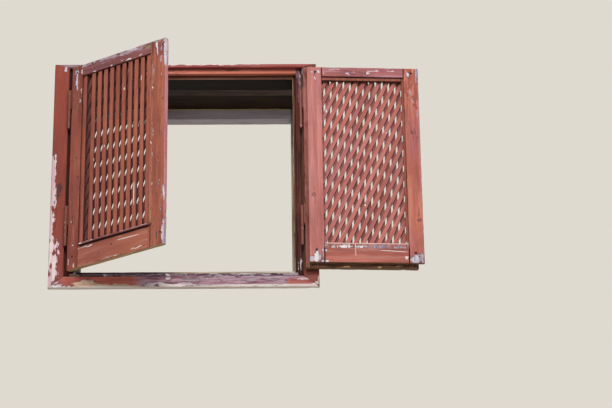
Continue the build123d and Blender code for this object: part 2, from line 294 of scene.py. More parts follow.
def agedCoat(tree, look, board):
    # two tones of faded paint, with chalky brush marks and dark ones between them
    faded = addNode(tree, "ShaderNodeMapRange", {
        "interpolation_type": "SMOOTHSTEP", "Value": board["fading"], "From Min": 0.36,
        "From Max": 0.64}).outputs[0]
    coat = addNode(tree, "ShaderNodeMix", {
        "data_type": "RGBA", 0: faded, 6: look["paint"], 7: look["deep"]}).outputs[2]
    if "insidePaint" in look:
        # a leaf's inner board is painted in its own shade
        insideCoat = addNode(tree, "ShaderNodeMix", {
            "data_type": "RGBA", 0: faded, 6: look["insidePaint"], 7: look["insideDeep"]}).outputs[2]
        split = faceDepth["lip"]
        inside = addNode(tree, "ShaderNodeMapRange", {
            "Value": board["y"], "From Min": split - 0.0005, "From Max": split + 0.0005}).outputs[0]
        coat = addNode(tree, "ShaderNodeMix", {
            "data_type": "RGBA", 0: inside, 6: coat, 7: insideCoat}).outputs[2]
    if "shift" in look:
        shifted = addNode(tree, "ShaderNodeMapRange", {
            "interpolation_type": "SMOOTHSTEP", "Value": board["hue"],
            "From Min": 0.47, "From Max": 0.64, "To Max": 0.7}).outputs[0]
        coat = addNode(tree, "ShaderNodeMix", {
            "data_type": "RGBA", 0: shifted, 6: coat, 7: look["shift"]}).outputs[2]
    chalky = addNode(tree, "ShaderNodeMapRange", {
        "interpolation_type": "SMOOTHSTEP", "Value": board["streak"], "From Min": 0.46, "From Max": 0.74,
        "To Max": look.get("chalkAmount", 0.45)}).outputs[0]
    coat = addNode(tree, "ShaderNodeMix", {
        "data_type": "RGBA", 0: chalky, 6: coat, 7: look["chalk"]}).outputs[2]
    brushed = addNode(tree, "ShaderNodeMapRange", {
        "interpolation_type": "SMOOTHSTEP", "Value": board["streak"],
        "From Min": 0.50, "From Max": 0.26, "To Max": 0.45}).outputs[0]
    coat = addNode(tree, "ShaderNodeMix", {
        "data_type": "RGBA", 0: brushed, 6: coat, 7: look["deep"]}).outputs[2]
    ribs = addNode(tree, "ShaderNodeMapRange", {
        "Value": board["grain"], "From Min": 0.3, "From Max": 0.7, "To Min": 0.84,
        "To Max": 1.07}).outputs[0]
    ribs = addNode(tree, "ShaderNodeCombineColor", {0: ribs, 1: ribs, 2: ribs}).outputs[0]
    return addNode(tree, "ShaderNodeMix", {
        "data_type": "RGBA", "blend_type": "MULTIPLY", 0: 1.0, 6: coat, 7: ribs}).outputs[2]


def dryingCracks(tree, look, board):
    # cracks run with the grain, where the flaking fields lie
    crack = addNode(tree, "ShaderNodeMath", {
        "operation": "SUBTRACT", 0: board["streak"], 1: 0.5}).outputs[0]
    crack = addNode(tree, "ShaderNodeMath", {"operation": "ABSOLUTE", 0: crack}).outputs[0]
    crack = addNode(tree, "ShaderNodeMapRange", {
        "Value": crack, "From Min": 0.014, "From Max": 0.004}).outputs[0]
    cracked = addNode(tree, "ShaderNodeMapRange", {
        "Value": board["field"], "From Min": 0.50, "From Max": 0.60,
        "To Max": look.get("crackDepth", 0.6)}).outputs[0]
    return addNode(tree, "ShaderNodeMath", {"operation": "MULTIPLY", 0: crack, 1: cracked}).outputs[0]


def flakedCoat(tree, look, board, coat):
    # where the noise, a worn arris or a rained-on top face adds up to enough, the paint is off
    rained = addNode(tree, "ShaderNodeMapRange", {
        "Value": board["up"], "From Min": 0.4, "From Max": 0.9,
        "To Max": look.get("topWear", 0.12)}).outputs[0]
    peel = addNode(tree, "ShaderNodeMath", {"operation": "MULTIPLY", 0: board["field"], 1: 0.38}).outputs[0]
    for read, share in ((board["flake"], 0.62), (board["edge"], look.get("edgeWear", 0.12)), (rained, 1.0)):
        peel = addNode(tree, "ShaderNodeMath", {
            "operation": "MULTIPLY_ADD", 0: read, 1: share, 2: peel}).outputs[0]
    start = look.get("peelStart", 0.70)
    rim = addNode(tree, "ShaderNodeMapRange", {
        "Value": peel, "From Min": start - 0.03, "From Max": start - 0.01, "To Max": 0.55}).outputs[0]
    bare = addNode(tree, "ShaderNodeMapRange", {
        "interpolation_type": "SMOOTHSTEP", "Value": peel, "From Min": start,
        "From Max": start + 0.03}).outputs[0]
    bareWood = addNode(tree, "ShaderNodeMapRange", {
        "interpolation_type": "SMOOTHSTEP", "Value": peel,
        "From Min": start + 0.15, "From Max": start + 0.20}).outputs[0]
    under = addNode(tree, "ShaderNodeMix", {
        "data_type": "RGBA", 0: board["mottled"],
        6: look.get("undercoat", "#DCD3CF"), 7: look.get("underTone", "#A8929A")}).outputs[2]
    wood = addNode(tree, "ShaderNodeMix", {
        "data_type": "RGBA", 0: board["grained"],
        6: look.get("wood", "#9C8468"), 7: look.get("woodDeep", "#6E5A48")}).outputs[2]
    under = addNode(tree, "ShaderNodeMix", {"data_type": "RGBA", 0: bareWood, 6: under, 7: wood}).outputs[2]
    colour = addNode(tree, "ShaderNodeMix", {
        "data_type": "RGBA", 0: rim, 6: coat, 7: oilPaint["rimTone"]}).outputs[2]
    colour = addNode(tree, "ShaderNodeMix", {"data_type": "RGBA", 0: bare, 6: colour, 7: under}).outputs[2]
    return colour, bare


def markSpace(tree, look, layer, mark, board):
    # a mark is its middle across and up the board, its half width and half height in millimetres,
    # and the degrees that it leans; the gradient ball is half full at that half width
    across, height, halfWidth, halfHeight = mark[:4]
    side = look.get("side")
    return addNode(tree, "ShaderNodeMapping", {
        "vector_type": "TEXTURE", "Vector": board["wandering" if layer.get("wander", True) else "where"],
        "Location": (leafAcross(side, across) if side else across / 1000,
                     faceDepth[layer.get("face", look["face"])], height / 1000),
        "Rotation": (0, math.radians(mark[4]) if len(mark) > 4 else 0, 0),
        "Scale": (halfWidth / 500, oilPaint["markDepth"], halfHeight / 500)}).outputs[0]


def ownLayers(tree, look, board, colour, bare):
    # layers of this board alone, in order: each is held to its limits, to its marks, or to both
    for layer in look.get("layers", []):
        cover = layer.get("amount", 1.0)
        reach = None
        for mark in layer.get("at", []):
            ball = addNode(tree, "ShaderNodeTexGradient", {
                "gradient_type": "SPHERICAL",
                "Vector": markSpace(tree, look, layer, mark, board)}).outputs[1]
            reach = ball if reach is None else addNode(tree, "ShaderNodeMath", {
                "operation": "MAXIMUM", 0: reach, 1: ball}).outputs[0]
        if reach:
            ragged = layer.get("ragged", 2.0)
            level = 0.5 + 0.5 * ragged
            reach = addNode(tree, "ShaderNodeMath", {
                "operation": "MULTIPLY_ADD", 0: board["flake"], 1: ragged, 2: reach}).outputs[0]
            if "rim" in layer:
                ring = addNode(tree, "ShaderNodeMapRange", {
                    "Value": reach, "From Min": level - 0.16, "From Max": level - 0.08,
                    "To Max": 0.8}).outputs[0]
                colour = addNode(tree, "ShaderNodeMix", {
                    "data_type": "RGBA", 0: ring, 6: colour, 7: layer["rim"]}).outputs[2]
            cover = addNode(tree, "ShaderNodeMapRange", {
                "interpolation_type": "SMOOTHSTEP", "Value": reach,
                "From Min": level - 0.04, "From Max": level + 0.05, "To Max": cover}).outputs[0]
        for way, begin, full in layer.get("limits", []):
            held = addNode(tree, "ShaderNodeMapRange", {
                "interpolation_type": "SMOOTHSTEP", "Value": board[way],
                "From Min": begin, "From Max": full}).outputs[0]
            cover = addNode(tree, "ShaderNodeMath", {"operation": "MULTIPLY", 0: held, 1: cover}).outputs[0]
        if "gaps" in layer:
            # the noise breaks the layer up, so that the coat shows through
            begin, full = layer["gaps"]
            held = addNode(tree, "ShaderNodeMapRange", {
                "Value": board["flake"], "From Min": begin, "From Max": full,
                "To Min": layer.get("gapFloor", 0.0)}).outputs[0]
            cover = addNode(tree, "ShaderNodeMath", {"operation": "MULTIPLY", 0: held, 1: cover}).outputs[0]
        tint = layer["tint"]
        if "fleck" in layer:
            flecked = board["grained" if layer.get("grain") else "mottled"]
            tint = addNode(tree, "ShaderNodeMix", {
                "data_type": "RGBA", 0: flecked, 6: tint, 7: layer["fleck"]}).outputs[2]
        colour = addNode(tree, "ShaderNodeMix", {
            "data_type": "RGBA", 0: cover, 6: colour, 7: tint}).outputs[2]
        if layer.get("sunk"):
            bare = addNode(tree, "ShaderNodeMath", {"operation": "MAXIMUM", 0: bare, 1: cover}).outputs[0]
    return colour, bare


# pale specks of dust, then painted shade from ambient occlusion
def dustedAndShaded(tree, look, board, colour):
    if "specks" in look:
        # pinhead spots of pale dust and spatter
        cell = addNode(tree, "ShaderNodeTexVoronoi", {
            "Scale": 1 / oilPaint["speckPitch"], "Vector": board["broad"]}).outputs
        pick = addNode(tree, "ShaderNodeSeparateColor", {0: cell["Color"]}).outputs[0]
        pick = addNode(tree, "ShaderNodeMath", {
            "operation": "GREATER_THAN", 0: pick, 1: 1 - look["specks"]}).outputs[0]
        speck = addNode(tree, "ShaderNodeMapRange", {
            "Value": cell["Distance"], "From Min": 0.14, "From Max": 0.08, "To Max": 0.75}).outputs[0]
        speck = addNode(tree, "ShaderNodeMath", {"operation": "MULTIPLY", 0: speck, 1: pick}).outputs[0]
        colour = addNode(tree, "ShaderNodeMix", {
            "data_type": "RGBA", 0: speck, 6: colour, 7: look.get("speckTone", "#D9C9C4")}).outputs[2]
    # painted shade: ambient occlusion darkens the colour in corners and where boards meet
    exposed = addNode(tree, "ShaderNodeAmbientOcclusion", {
        "samples": 5, "Distance": oilPaint["shadeReach"]}).outputs["AO"]
    occlusionShade = addNode(tree, "ShaderNodeMapRange", {
        "interpolation_type": "SMOOTHSTEP", "Value": exposed,
        "From Min": 0.92, "From Max": 0.40, "To Max": look.get("occlusionShade", 0.75)}).outputs[0]
    return addNode(tree, "ShaderNodeMix", {
        "data_type": "RGBA", 0: occlusionShade, 6: colour, 7: oilPaint["shadeTone"]}).outputs[2]


def paintedPine(name, look, number):
    # Brushed oil paint on pine boards, many coats old: chalky, streaked along the grain, flaking to
    # a white undercoat and grey wood. The eye gets brush streaks, painted shade in corners and pale chips.
    paint, tree = newMaterial(name)
    board = boardPatterns(tree, look, number)
    coat = agedCoat(tree, look, board)
    crack = dryingCracks(tree, look, board)
    coat = addNode(tree, "ShaderNodeMix", {
        "data_type": "RGBA", 0: crack, 6: coat, 7: oilPaint["crackTone"]}).outputs[2]
    colour, bare = flakedCoat(tree, look, board, coat)
    colour, bare = ownLayers(tree, look, board, colour, bare)
    colour = dustedAndShaded(tree, look, board, colour)

    # grain and brush marks stand up, bare spots and cracks lie deeper and are rougher
    height = addNode(tree, "ShaderNodeMath", {
        "operation": "MULTIPLY", 0: board["grain"], 1: 0.35}).outputs[0]
    for read, rise in ((bare, -0.5), (crack, -0.8), (board["flake"], 0.25)):
        height = addNode(tree, "ShaderNodeMath", {
            "operation": "MULTIPLY_ADD", 0: read, 1: rise, 2: height}).outputs[0]
    relief = addNode(tree, "ShaderNodeBump", {
        "Strength": 0.7, "Distance": oilPaint["relief"], "Height": height}).outputs[0]
    rough = addNode(tree, "ShaderNodeMapRange", {
        "Value": board["streak"], "From Min": 0.3, "From Max": 0.7, "To Min": 0.60,
        "To Max": 0.76}).outputs[0]
    rough = addNode(tree, "ShaderNodeMath", {
        "operation": "MULTIPLY_ADD", 0: bare, 1: 0.16, 2: rough}).outputs[0]
    surface = addNode(tree, "ShaderNodeBsdfPrincipled", {
        "Base Color": colour, "Roughness": rough, "Normal": relief,
        "IOR": 1.48, "Specular IOR Level": look.get("gloss", 0.3)}).outputs[0]
    addNode(tree, "ShaderNodeOutputMaterial", {"Surface": surface})
    return paint


# wear: corners sharper than "arris" degrees are rounded, those left sharper than "corner" chip
wear = {
    "merge": 0.00005, "arris": 25, "corner": 15, "segments": 2,
    "waveScale": 9, "chipScale": 70, "chipStart": 0.15, "cutScatter": 0.3,
}


def cutAcross(mesh, axis, step, low, high):
    # a board is cut into lengths that aren't quite equal, so that its faces can wave and chip
    cuts = int((high[axis] - low[axis]) / step)
    normal = Vector((0, 0, 0))
    normal[axis] = 1
    for i in range(1, cuts):
        scatter = wear["cutScatter"] * noise.noise((i * 1.7, low[axis] * 9, 0.5))
        spot = Vector((0, 0, 0))
        spot[axis] = low[axis] + (high[axis] - low[axis]) * (i + scatter) / cuts
        bmesh.ops.bisect_plane(mesh, geom=mesh.verts[:] + mesh.edges[:] + mesh.faces[:],
                               plane_co=spot, plane_no=normal, dist=0.00001)


def wornBoard(node, paint, body, look, number):
    # the board of the frame with its arrises rounded and chipped by years of weather
    mesh = bmesh.new()
    mesh.from_mesh(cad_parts[node].data)
    bmesh.ops.remove_doubles(mesh, verts=mesh.verts, dist=wear["merge"])
    bmesh.ops.dissolve_limit(mesh, angle_limit=math.radians(1), verts=mesh.verts, edges=mesh.edges)
    space = boardSpace(look.get("side"))
    bmesh.ops.transform(mesh, matrix=space.inverted(), verts=mesh.verts)
    sharp = math.radians(wear["arris"])
    arris = [e for e in mesh.edges if len(e.link_faces) == 2 and e.calc_face_angle() > sharp]
    bmesh.ops.bevel(mesh, geom=arris, offset=look["round"], offset_type="OFFSET", affect="EDGES",
                    segments=wear["segments"], profile=0.5, material=-1, clamp_overlap=True)
    along = 2 if look["along"] == "z" else 0
    low = [min(v.co[axis] for v in mesh.verts) for axis in (0, 1, 2)]
    high = [max(v.co[axis] for v in mesh.verts) for axis in (0, 1, 2)]
    for axis in (0, 1, 2):
        step = look["step"] if axis == along else look.get("crossStep")
        if step:
            cutAcross(mesh, axis, step, low, high)
    mesh.normal_update()
    seed = Vector((number * 3.1, 0, 0))
    for v in mesh.verts:
        wave = noise.noise_vector((v.co + seed) * wear["waveScale"]) * look["wave"]
        wave[along] = 0
        wave -= v.normal * max(0.0, wave.dot(v.normal))
        chip = max(0.0, noise.noise((v.co + seed) * wear["chipScale"]) - wear["chipStart"]) * look["chip"]
        corner = max((e.calc_face_angle(0.0) for e in v.link_edges), default=0.0)
        if corner < math.radians(wear["corner"]):
            chip = 0.0
        v.co += wave - v.normal * chip
        # worn boards only ever lose wood
        v.co = [min(max(v.co[axis], low[axis]), high[axis]) for axis in (0, 1, 2)]
    bmesh.ops.transform(mesh, matrix=space, verts=mesh.verts)
    piece = newPiece(node + ".worn", mesh, paint)
    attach(piece, body)
    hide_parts(node)


boardsMade = []


def dressBoard(node, body, look):
    # each board gets the next number, which sets its own grain and chips
    boardsMade.append(node)
    number = len(boardsMade)
    paint = paintedPine("brushedOilPaintOnPine." + node, look, number)
    wornBoard(node, paint, body, look, number)


# sawn pine that was never painted
bareWood = {"tint": "#A58660", "fleck": "#6E563C", "grain": True, "amount": 0.95}

# casing: four mitred boards round the opening, the left one peeling along its outer edge
casing = {
    "face": "casing", "round": 0.0015, "step": 0.018, "crossStep": 0.02, "wave": 0.0005, "chip": 0.0035,
    "boards": {
        "casing_left": {
            "along": "z", "paint": "#94402F", "deep": "#7E3328", "chalk": "#AC5A4B", "shift": "#8A3F38",
            "peelStart": 0.76, "edgeWear": 0.08,
            "undercoat": "#E2D6D6", "underTone": "#B79CA6", "specks": 0.03,
            "layers": [
                {"tint": "#84424A", "fleck": "#94544E", "amount": 0.5, "ragged": 3,
                 "at": [(-474, 110, 10, 90), (-484, 16, 20, 40)]},
                {"tint": "#C08C94", "fleck": "#A45C62", "amount": 0.8, "ragged": 3, "sunk": True,
                 "at": [(-494, 22, 16, 46)]},
                {"tint": "#EAD9D8", "fleck": "#D2B2B8", "rim": "#6E2A2E", "sunk": True,
                 "at": [(-505, 405, 14, 112), (-499, 350, 11, 40), (-506, 232, 10, 84), (-499, 262, 10, 26),
                        (-494, 88, 19, 60), (-503, 120, 14, 60),
                        (-488, 34, 15, 26), (-502, 0, 10, 34), (-507, 512, 6, 24)]},
                {"tint": "#8C3A38", "ragged": 1.2,
                 "at": [(-489, 120, 5, 12), (-500, 66, 4, 16), (-497, 300, 4, 14)]},
                {"tint": "#5A2028", "amount": 0.85,
                 "limits": [("x", -0.5066, -0.5080), ("z", 0.06, 0.10), ("z", 0.56, 0.50)],
                 "gaps": (0.40, 0.46)},
                {"tint": "#3A1E26", "fleck": "#5A323A", "ragged": 2.6, "amount": 0.85,
                 "at": [(-478, 378, 8, 18), (-475, 396, 5, 9), (-480, 358, 7, 9)]},
                {"tint": "#DED4E0", "fleck": "#A29CBC", "rim": "#5A2028", "ragged": 1.2,
                 "at": [(-467, 905, 4, 13), (-474, 917, 7, 4)]},
            ]},
        "casing_right": {
            "along": "z", "paint": "#9C4A3A", "deep": "#7E3A30", "chalk": "#AE6A5A", "peelStart": 0.74,
            "edgeWear": 0.10,
            "layers": [
                {"tint": "#4A2A20", "fleck": "#6A4838", "amount": 0.9, "limits": [("z", 0.040, 0.060)]},
                # painted light that lifts the shadow of the open leaf at the foot
                {"tint": "#9E5C50", "fleck": "#8A4A40", "amount": 0.6, "limits": [("z", 0.045, 0.030)]},
                {"tint": "#2A1610", "amount": 0.8,
                 "limits": [("x", 0.4560, 0.4570), ("x", 0.4610, 0.4600), ("z", 0.040, 0.060)],
                 "gaps": (0.36, 0.44)},
                {"tint": "#B5A684", "fleck": "#7E6A52", "ragged": 1.2,
                 "at": [(469, 820, 2, 60), (469, 640, 2, 70), (468, 330, 2, 120)]},
                {"tint": "#A0939C", "fleck": "#6A5658", "amount": 0.9, "ragged": 1.6,
                 "at": [(458, 868, 3, 30)]},
                {"tint": "#E0D4D2", "fleck": "#B9A0A4", "rim": "#5A2A28",
                 "at": [(503, -8, 9, 13), (507, 12, 5, 14)]},
            ]},
        "casing_head": {
            "along": "x", "paint": "#B55650", "deep": "#964340", "chalk": "#C9817B", "peelStart": 0.78,
            "topWear": 0.2,
            "layers": [
                {"tint": "#A08E96", "fleck": "#7C5C62", "amount": 0.92, "limits": [("x", -0.385, -0.400)],
                 "gaps": (0.30, 0.42), "gapFloor": 0.5},
                {"tint": "#E8DCD8", "fleck": "#C9B0B0", "ragged": 1.6, "sunk": True,
                 "at": [(40, 921, 120, 3), (-52, 919, 26, 5), (165, 919, 40, 4), (260, 922, 60, 2)]},
            ]},
        "casing_bottom": {
            "along": "x", "paint": "#C6675A", "deep": "#AA5248", "chalk": "#D28C80", "chalkAmount": 0.5,
            "peelStart": 0.76, "edgeWear": 0.08,
            "layers": [
                # painted light that lifts the shadow of the open left leaf on this stretch
                {"tint": "#CC7060", "fleck": "#B05E50", "amount": 0.7,
                 "limits": [("x", -0.370, -0.330), ("x", -0.120, -0.170)]},
                {"tint": "#7E4A5E", "fleck": "#BEA2B2", "grain": True, "amount": 0.92,
                 "limits": [("x", -0.200, -0.150), ("x", 0.405, 0.380)]},
                {"tint": "#B26660", "fleck": "#934B46", "amount": 0.8, "limits": [("x", 0.380, 0.405)]},
                {"tint": "#CDB6C2", "fleck": "#8E6E80", "grain": True, "amount": 0.85,
                 "limits": [("x", 0.030, 0.070), ("z", 0.004, 0.012)], "gaps": (0.40, 0.48)},
                {"tint": "#4A2230", "amount": 0.7,
                 "limits": [("x", -0.100, -0.050), ("z", -0.0105, -0.0060)], "gaps": (0.42, 0.37)},
                {"tint": "#E4DAD8", "fleck": "#C2AEB4", "amount": 0.95,
                 "limits": [("x", 0.040, 0.070), ("x", 0.500, 0.480), ("z", -0.0105, -0.0135)],
                 "gaps": (0.38, 0.44), "sunk": True},
                {"tint": "#A99CA2", "fleck": "#6E5A62", "ragged": 3,
                 "at": [(33, 8, 30, 9), (250, 2, 24, 5), (330, 6, 20, 5)]},
                {"tint": "#E8DEDE", "fleck": "#C4B2BA", "rim": "#5A3038", "sunk": True,
                 "at": [(-58, 14, 9, 10), (-62, -13, 40, 9), (-20, -15, 32, 8), (-120, -15, 26, 7),
                        (-92, -6, 10, 5), (30, -12, 26, 6)]},
                {"tint": "#CDAE98", "fleck": "#B08E7A", "rim": "#703A32", "grain": True, "ragged": 1.2,
                 "sunk": True, "at": [(-370, -15, 47, 18), (-345, -18, 40, 10)]},
                {"tint": "#DCC8AE", "fleck": "#C2A58C", "ragged": 1.4, "sunk": True,
                 "at": [(-268, -18, 70, 9), (-195, -20, 34, 6)]},
                {"tint": "#EEE2DA", "fleck": "#D6BEB2", "amount": 0.9,
                 "limits": [("z", -0.0175, -0.0195), ("x", -0.140, -0.180)], "gaps": (0.40, 0.48)},
                {"tint": "#E8DEE2", "fleck": "#B9A8B6", "rim": "#5E2E34", "sunk": True,
                 "at": [(-500, -6, 9, 19), (-473, -18, 40, 7), (-478, 6, 6, 12)]},
                {"tint": "#E6DAD6", "fleck": "#CDB6B6", "ragged": 1.5, "sunk": True,
                 "at": [(440, -19, 60, 4), (496, -16, 12, 6), (452, 10, 34, 3)]},
                {"tint": "#46222A", "amount": 0.8, "limits": [("z", 0.0195, 0.0220)]},
                # painted light: the downward face is made pale
                {"tint": "#FAF2EA", "fleck": "#E6D2C6", "limits": [("up", -0.2, -0.6)]},
            ]},
    },
}
for node, look in casing["boards"].items():
    unpainted = {**bareWood, "limits": [("y", -0.0012, -0.0006)]}  # the back of the casing
    dressBoard(node, "root", {**casing, **look, "layers": look["layers"] + [unpainted]})
print("casing made")

# boards of the reveal: outer frame, stops, soffit and the window's inner frame
reveal = {
    "round": 0.0012, "step": 0.03, "crossStep": 0.03, "wave": 0.0004, "chip": 0.002, "gloss": 0.12,
    # faces that are built in, and were never painted
    "hidden": {
        "frame_head": [("up", 0.4, 0.8)],
        "frame_left_jamb": [("x", -0.4505, -0.4515)],
        "frame_right_jamb": [("x", 0.4505, 0.4515)],
        "frame_sill": [("up", -0.4, -0.8)],
        "stop_head": [("up", 0.4, 0.8)],
        "stop_sill": [("up", -0.4, -0.8)],
        "stop_left_jamb": [("x", -0.4370, -0.4390)],
        "stop_right_jamb": [("x", 0.4370, 0.4390)],
        "soffit_front_board": [("up", 0.4, 0.8)],
        "soffit_rear_board": [("up", 0.4, 0.8)],
        "inner_head": [("up", 0.4, 0.8)],
        "inner_left_jamb": [("x", -0.4525, -0.4535)],
        "inner_right_jamb": [("x", 0.4525, 0.4535)],
        "inner_sill": [("up", -0.4, -0.8)],
    },
    "boards": {
        "frame_head": ("frame_paint", {
            "face": "frame", "along": "x", "paint": "#E48A76", "deep": "#CE7460", "chalk": "#EFB0A0",
            "peelStart": 0.84, "occlusionShade": 0.2,
            "layers": [{"tint": "#BC9264", "fleck": "#8E5C46", "ragged": 1.5, "at": [(182, 904, 26, 4)]},
                       {"tint": "#8E5A60", "fleck": "#6A3A40", "amount": 0.7,
                        "limits": [("x", -0.395, -0.410)]}]}),
        "frame_left_jamb": ("frame_paint", {
            "face": "frame", "along": "z", "paint": "#56241A", "deep": "#3C1810", "chalk": "#6A3426",
            "peelStart": 0.84,
            "layers": [{"tint": "#4E2C3C", "fleck": "#3A1E28", "amount": 0.9,
                        "limits": [("z", 0.800, 0.840)]}]}),
        "frame_right_jamb": ("frame_paint", {
            "face": "frame", "along": "z", "paint": "#6C3833", "deep": "#43201C", "chalk": "#8A5C54",
            "peelStart": 0.78,
            "layers": [
                # two painted shadow lines down the front face: at the rebate, and beside the casing's edge
                {"tint": "#2A1511", "amount": 0.8,
                 "limits": [("x", 0.4338, 0.4346), ("x", 0.4366, 0.4358), ("y", 0.002, 0.001)],
                 "gaps": (0.34, 0.44)},
                {"tint": "#2A1511", "amount": 0.8,
                 "limits": [("x", 0.4435, 0.4443), ("x", 0.4470, 0.4462), ("y", 0.002, 0.001)],
                 "gaps": (0.38, 0.46)},
                {"tint": "#9A7C86", "fleck": "#6E464E", "amount": 0.85, "ragged": 2.5,
                 "at": [(441, 878, 12, 26), (446, 800, 6, 60)]},
                {"tint": "#D9CDD2", "ragged": 1.2,
                 "at": [(447, 849, 3, 5), (447, 876, 3, 8), (429, 72, 2, 24), (441, 74, 2, 22)]},
            ]}),
        "frame_sill": ("frame_paint", {
            "face": "frame", "along": "x", "paint": "#7E5F6B", "deep": "#5C424D", "chalk": "#AA92A0",
            "chalkAmount": 0.7, "peelStart": 0.74, "occlusionShade": 0.5,
            "undercoat": "#CFC6C6", "underTone": "#A0919A",
            "layers": [
                {"tint": "#6C5860", "fleck": "#857278", "amount": 0.85,
                 "limits": [("x", -0.390, -0.375), ("x", -0.150, -0.170)]},
                {"tint": "#BDA484", "fleck": "#937C62", "grain": True, "ragged": 1.5,
                 "at": [(-426, 33, 38, 12)]},
                {"tint": "#CFC4CC", "fleck": "#54444C", "grain": True, "amount": 0.85,
                 "limits": [("x", -0.300, -0.280)], "gaps": (0.47, 0.52)},
                {"tint": "#3A2A2E", "amount": 0.6, "limits": [("x", -0.300, -0.280)], "gaps": (0.44, 0.39)},
                {"tint": "#C4BAC0", "fleck": "#6E6068", "ragged": 3,
                 "at": [(-205, 33, 32, 8), (-100, 34, 20, 6), (0, 36, 16, 4), (110, 37, 20, 4),
                        (250, 37, 26, 4), (380, 36, 18, 4)]},
                {"tint": "#E4DCDC", "ragged": 0.8, "at": [(-297, 36, 5, 6), (-60, 34, 10, 7)]},
                {"tint": "#451F26", "amount": 0.85, "limits": [("x", 0.020, 0.060), ("z", 0.0300, 0.0270)]},
            ]}),
        "stop_head": ("stop_paint", {
            "face": "stop", "along": "x", "paint": "#805547", "deep": "#613F33", "chalk": "#9B7D6B",
            "peelStart": 0.82,
            # painted shade on the underside, behind the front edge
            "layers": [{"tint": "#080404", "amount": 0.98,
                        "limits": [("y", 0.0212, 0.0240), ("up", -0.4, -0.8)]}]}),
        "stop_left_jamb": ("stop_paint", {
            "face": "stop", "along": "z", "paint": "#7A4034", "deep": "#562C24", "chalk": "#90604C",
            "peelStart": 0.82,
            # painted shade on the inner face, behind the front edge
            "layers": [{"tint": "#140C0A", "amount": 0.75,
                        "limits": [("y", 0.0215, 0.0260), ("x", -0.4210, -0.4190)]}]}),
        "stop_right_jamb": ("stop_paint", {
            "face": "stop", "along": "z", "paint": "#74382E", "deep": "#4A221C", "chalk": "#946650",
            "chalkAmount": 0.7, "peelStart": 0.82,
            # painted shade on the inner face, behind the front edge
            "layers": [{"tint": "#140C0A", "amount": 0.75,
                        "limits": [("y", 0.0215, 0.0260), ("x", 0.4210, 0.4190)]},
                       {"tint": "#D2BE98", "fleck": "#8E6E52", "amount": 0.9,
                        "limits": [("x", 0.4200, 0.4190), ("y", 0.0225, 0.0215)], "gaps": (0.34, 0.42)}]}),
        "stop_sill": ("stop_paint", {
            "face": "stop", "along": "x", "paint": "#6A4A4C", "deep": "#4A3034", "chalk": "#8A6E72",
            "peelStart": 0.82,
            # painted shade behind the front edge
            "layers": [{"tint": "#1A100E", "amount": 0.6, "limits": [("y", 0.0215, 0.0260)]},
                       {"tint": "#DCCDB4", "fleck": "#B29C8A", "amount": 0.95,
                        "limits": [("x", -0.080, 0.000), ("z", 0.0440, 0.0470), ("y", 0.0230, 0.0215)],
                        "gaps": (0.30, 0.38)}]}),
        # the soffit boards' dark tones are partly painted shade
        "soffit_front_board": ("soffit_board", {
            "face": "stop", "along": "x", "paint": "#5C4D49", "deep": "#392D2A", "chalk": "#7B6A60",
            "chalkAmount": 0.8, "peelStart": 0.95, "occlusionShade": 0.6}),
        "soffit_rear_board": ("soffit_board", {
            "face": "stop", "along": "x", "paint": "#37261B", "deep": "#1F140D", "chalk": "#513B28",
            "peelStart": 0.95}),
        "inner_head": ("inner_frame_paint", {
            "face": "inner", "along": "x", "paint": "#D3CED8", "deep": "#C1BAC5", "chalk": "#E1DDE5",
            "peelStart": 0.88, "occlusionShade": 0.1,
            "wood": "#8A7C68", "undercoat": "#A8A09A", "gloss": 0.3,
            "layers": [{"tint": "#F4E8BE", "fleck": "#D9C892",
                        "limits": [("z", 0.8728, 0.8738), ("z", 0.8800, 0.8790), ("y", 0.2890, 0.2880)],
                        "gaps": (0.28, 0.36)}]}),
        "inner_left_jamb": ("inner_frame_paint", {
            "face": "inner", "along": "z", "paint": "#B5AC9C", "deep": "#968C7A", "chalk": "#D2CAB8",
            "peelStart": 0.86, "undercoat": "#8E8680", "gloss": 0.3,
            # painted shade, darker towards the foot of the jamb
            "layers": [{"tint": "#241E1A", "amount": 0.9, "limits": [("z", 0.240, 0.150)]}]}),
        "inner_right_jamb": ("inner_frame_paint", {
            "face": "inner", "along": "z", "paint": "#AAA08E", "deep": "#8A806E", "chalk": "#C8C0AC",
            "peelStart": 0.86, "undercoat": "#8E8680", "gloss": 0.3}),
        "inner_sill": ("inner_frame_paint", {
            "face": "inner", "along": "x", "paint": "#A79F97", "deep": "#8A827A", "chalk": "#C2BCB2",
            "peelStart": 0.84, "undercoat": "#8E8680", "gloss": 0.3}),
    },
}
for node, (slotName, look) in reveal["boards"].items():
    unpainted = {**bareWood, "limits": reveal["hidden"][node]}
    dressBoard(node, "root", {**reveal, **look, "layers": look.get("layers", []) + [unpainted]})
print("reveal made")

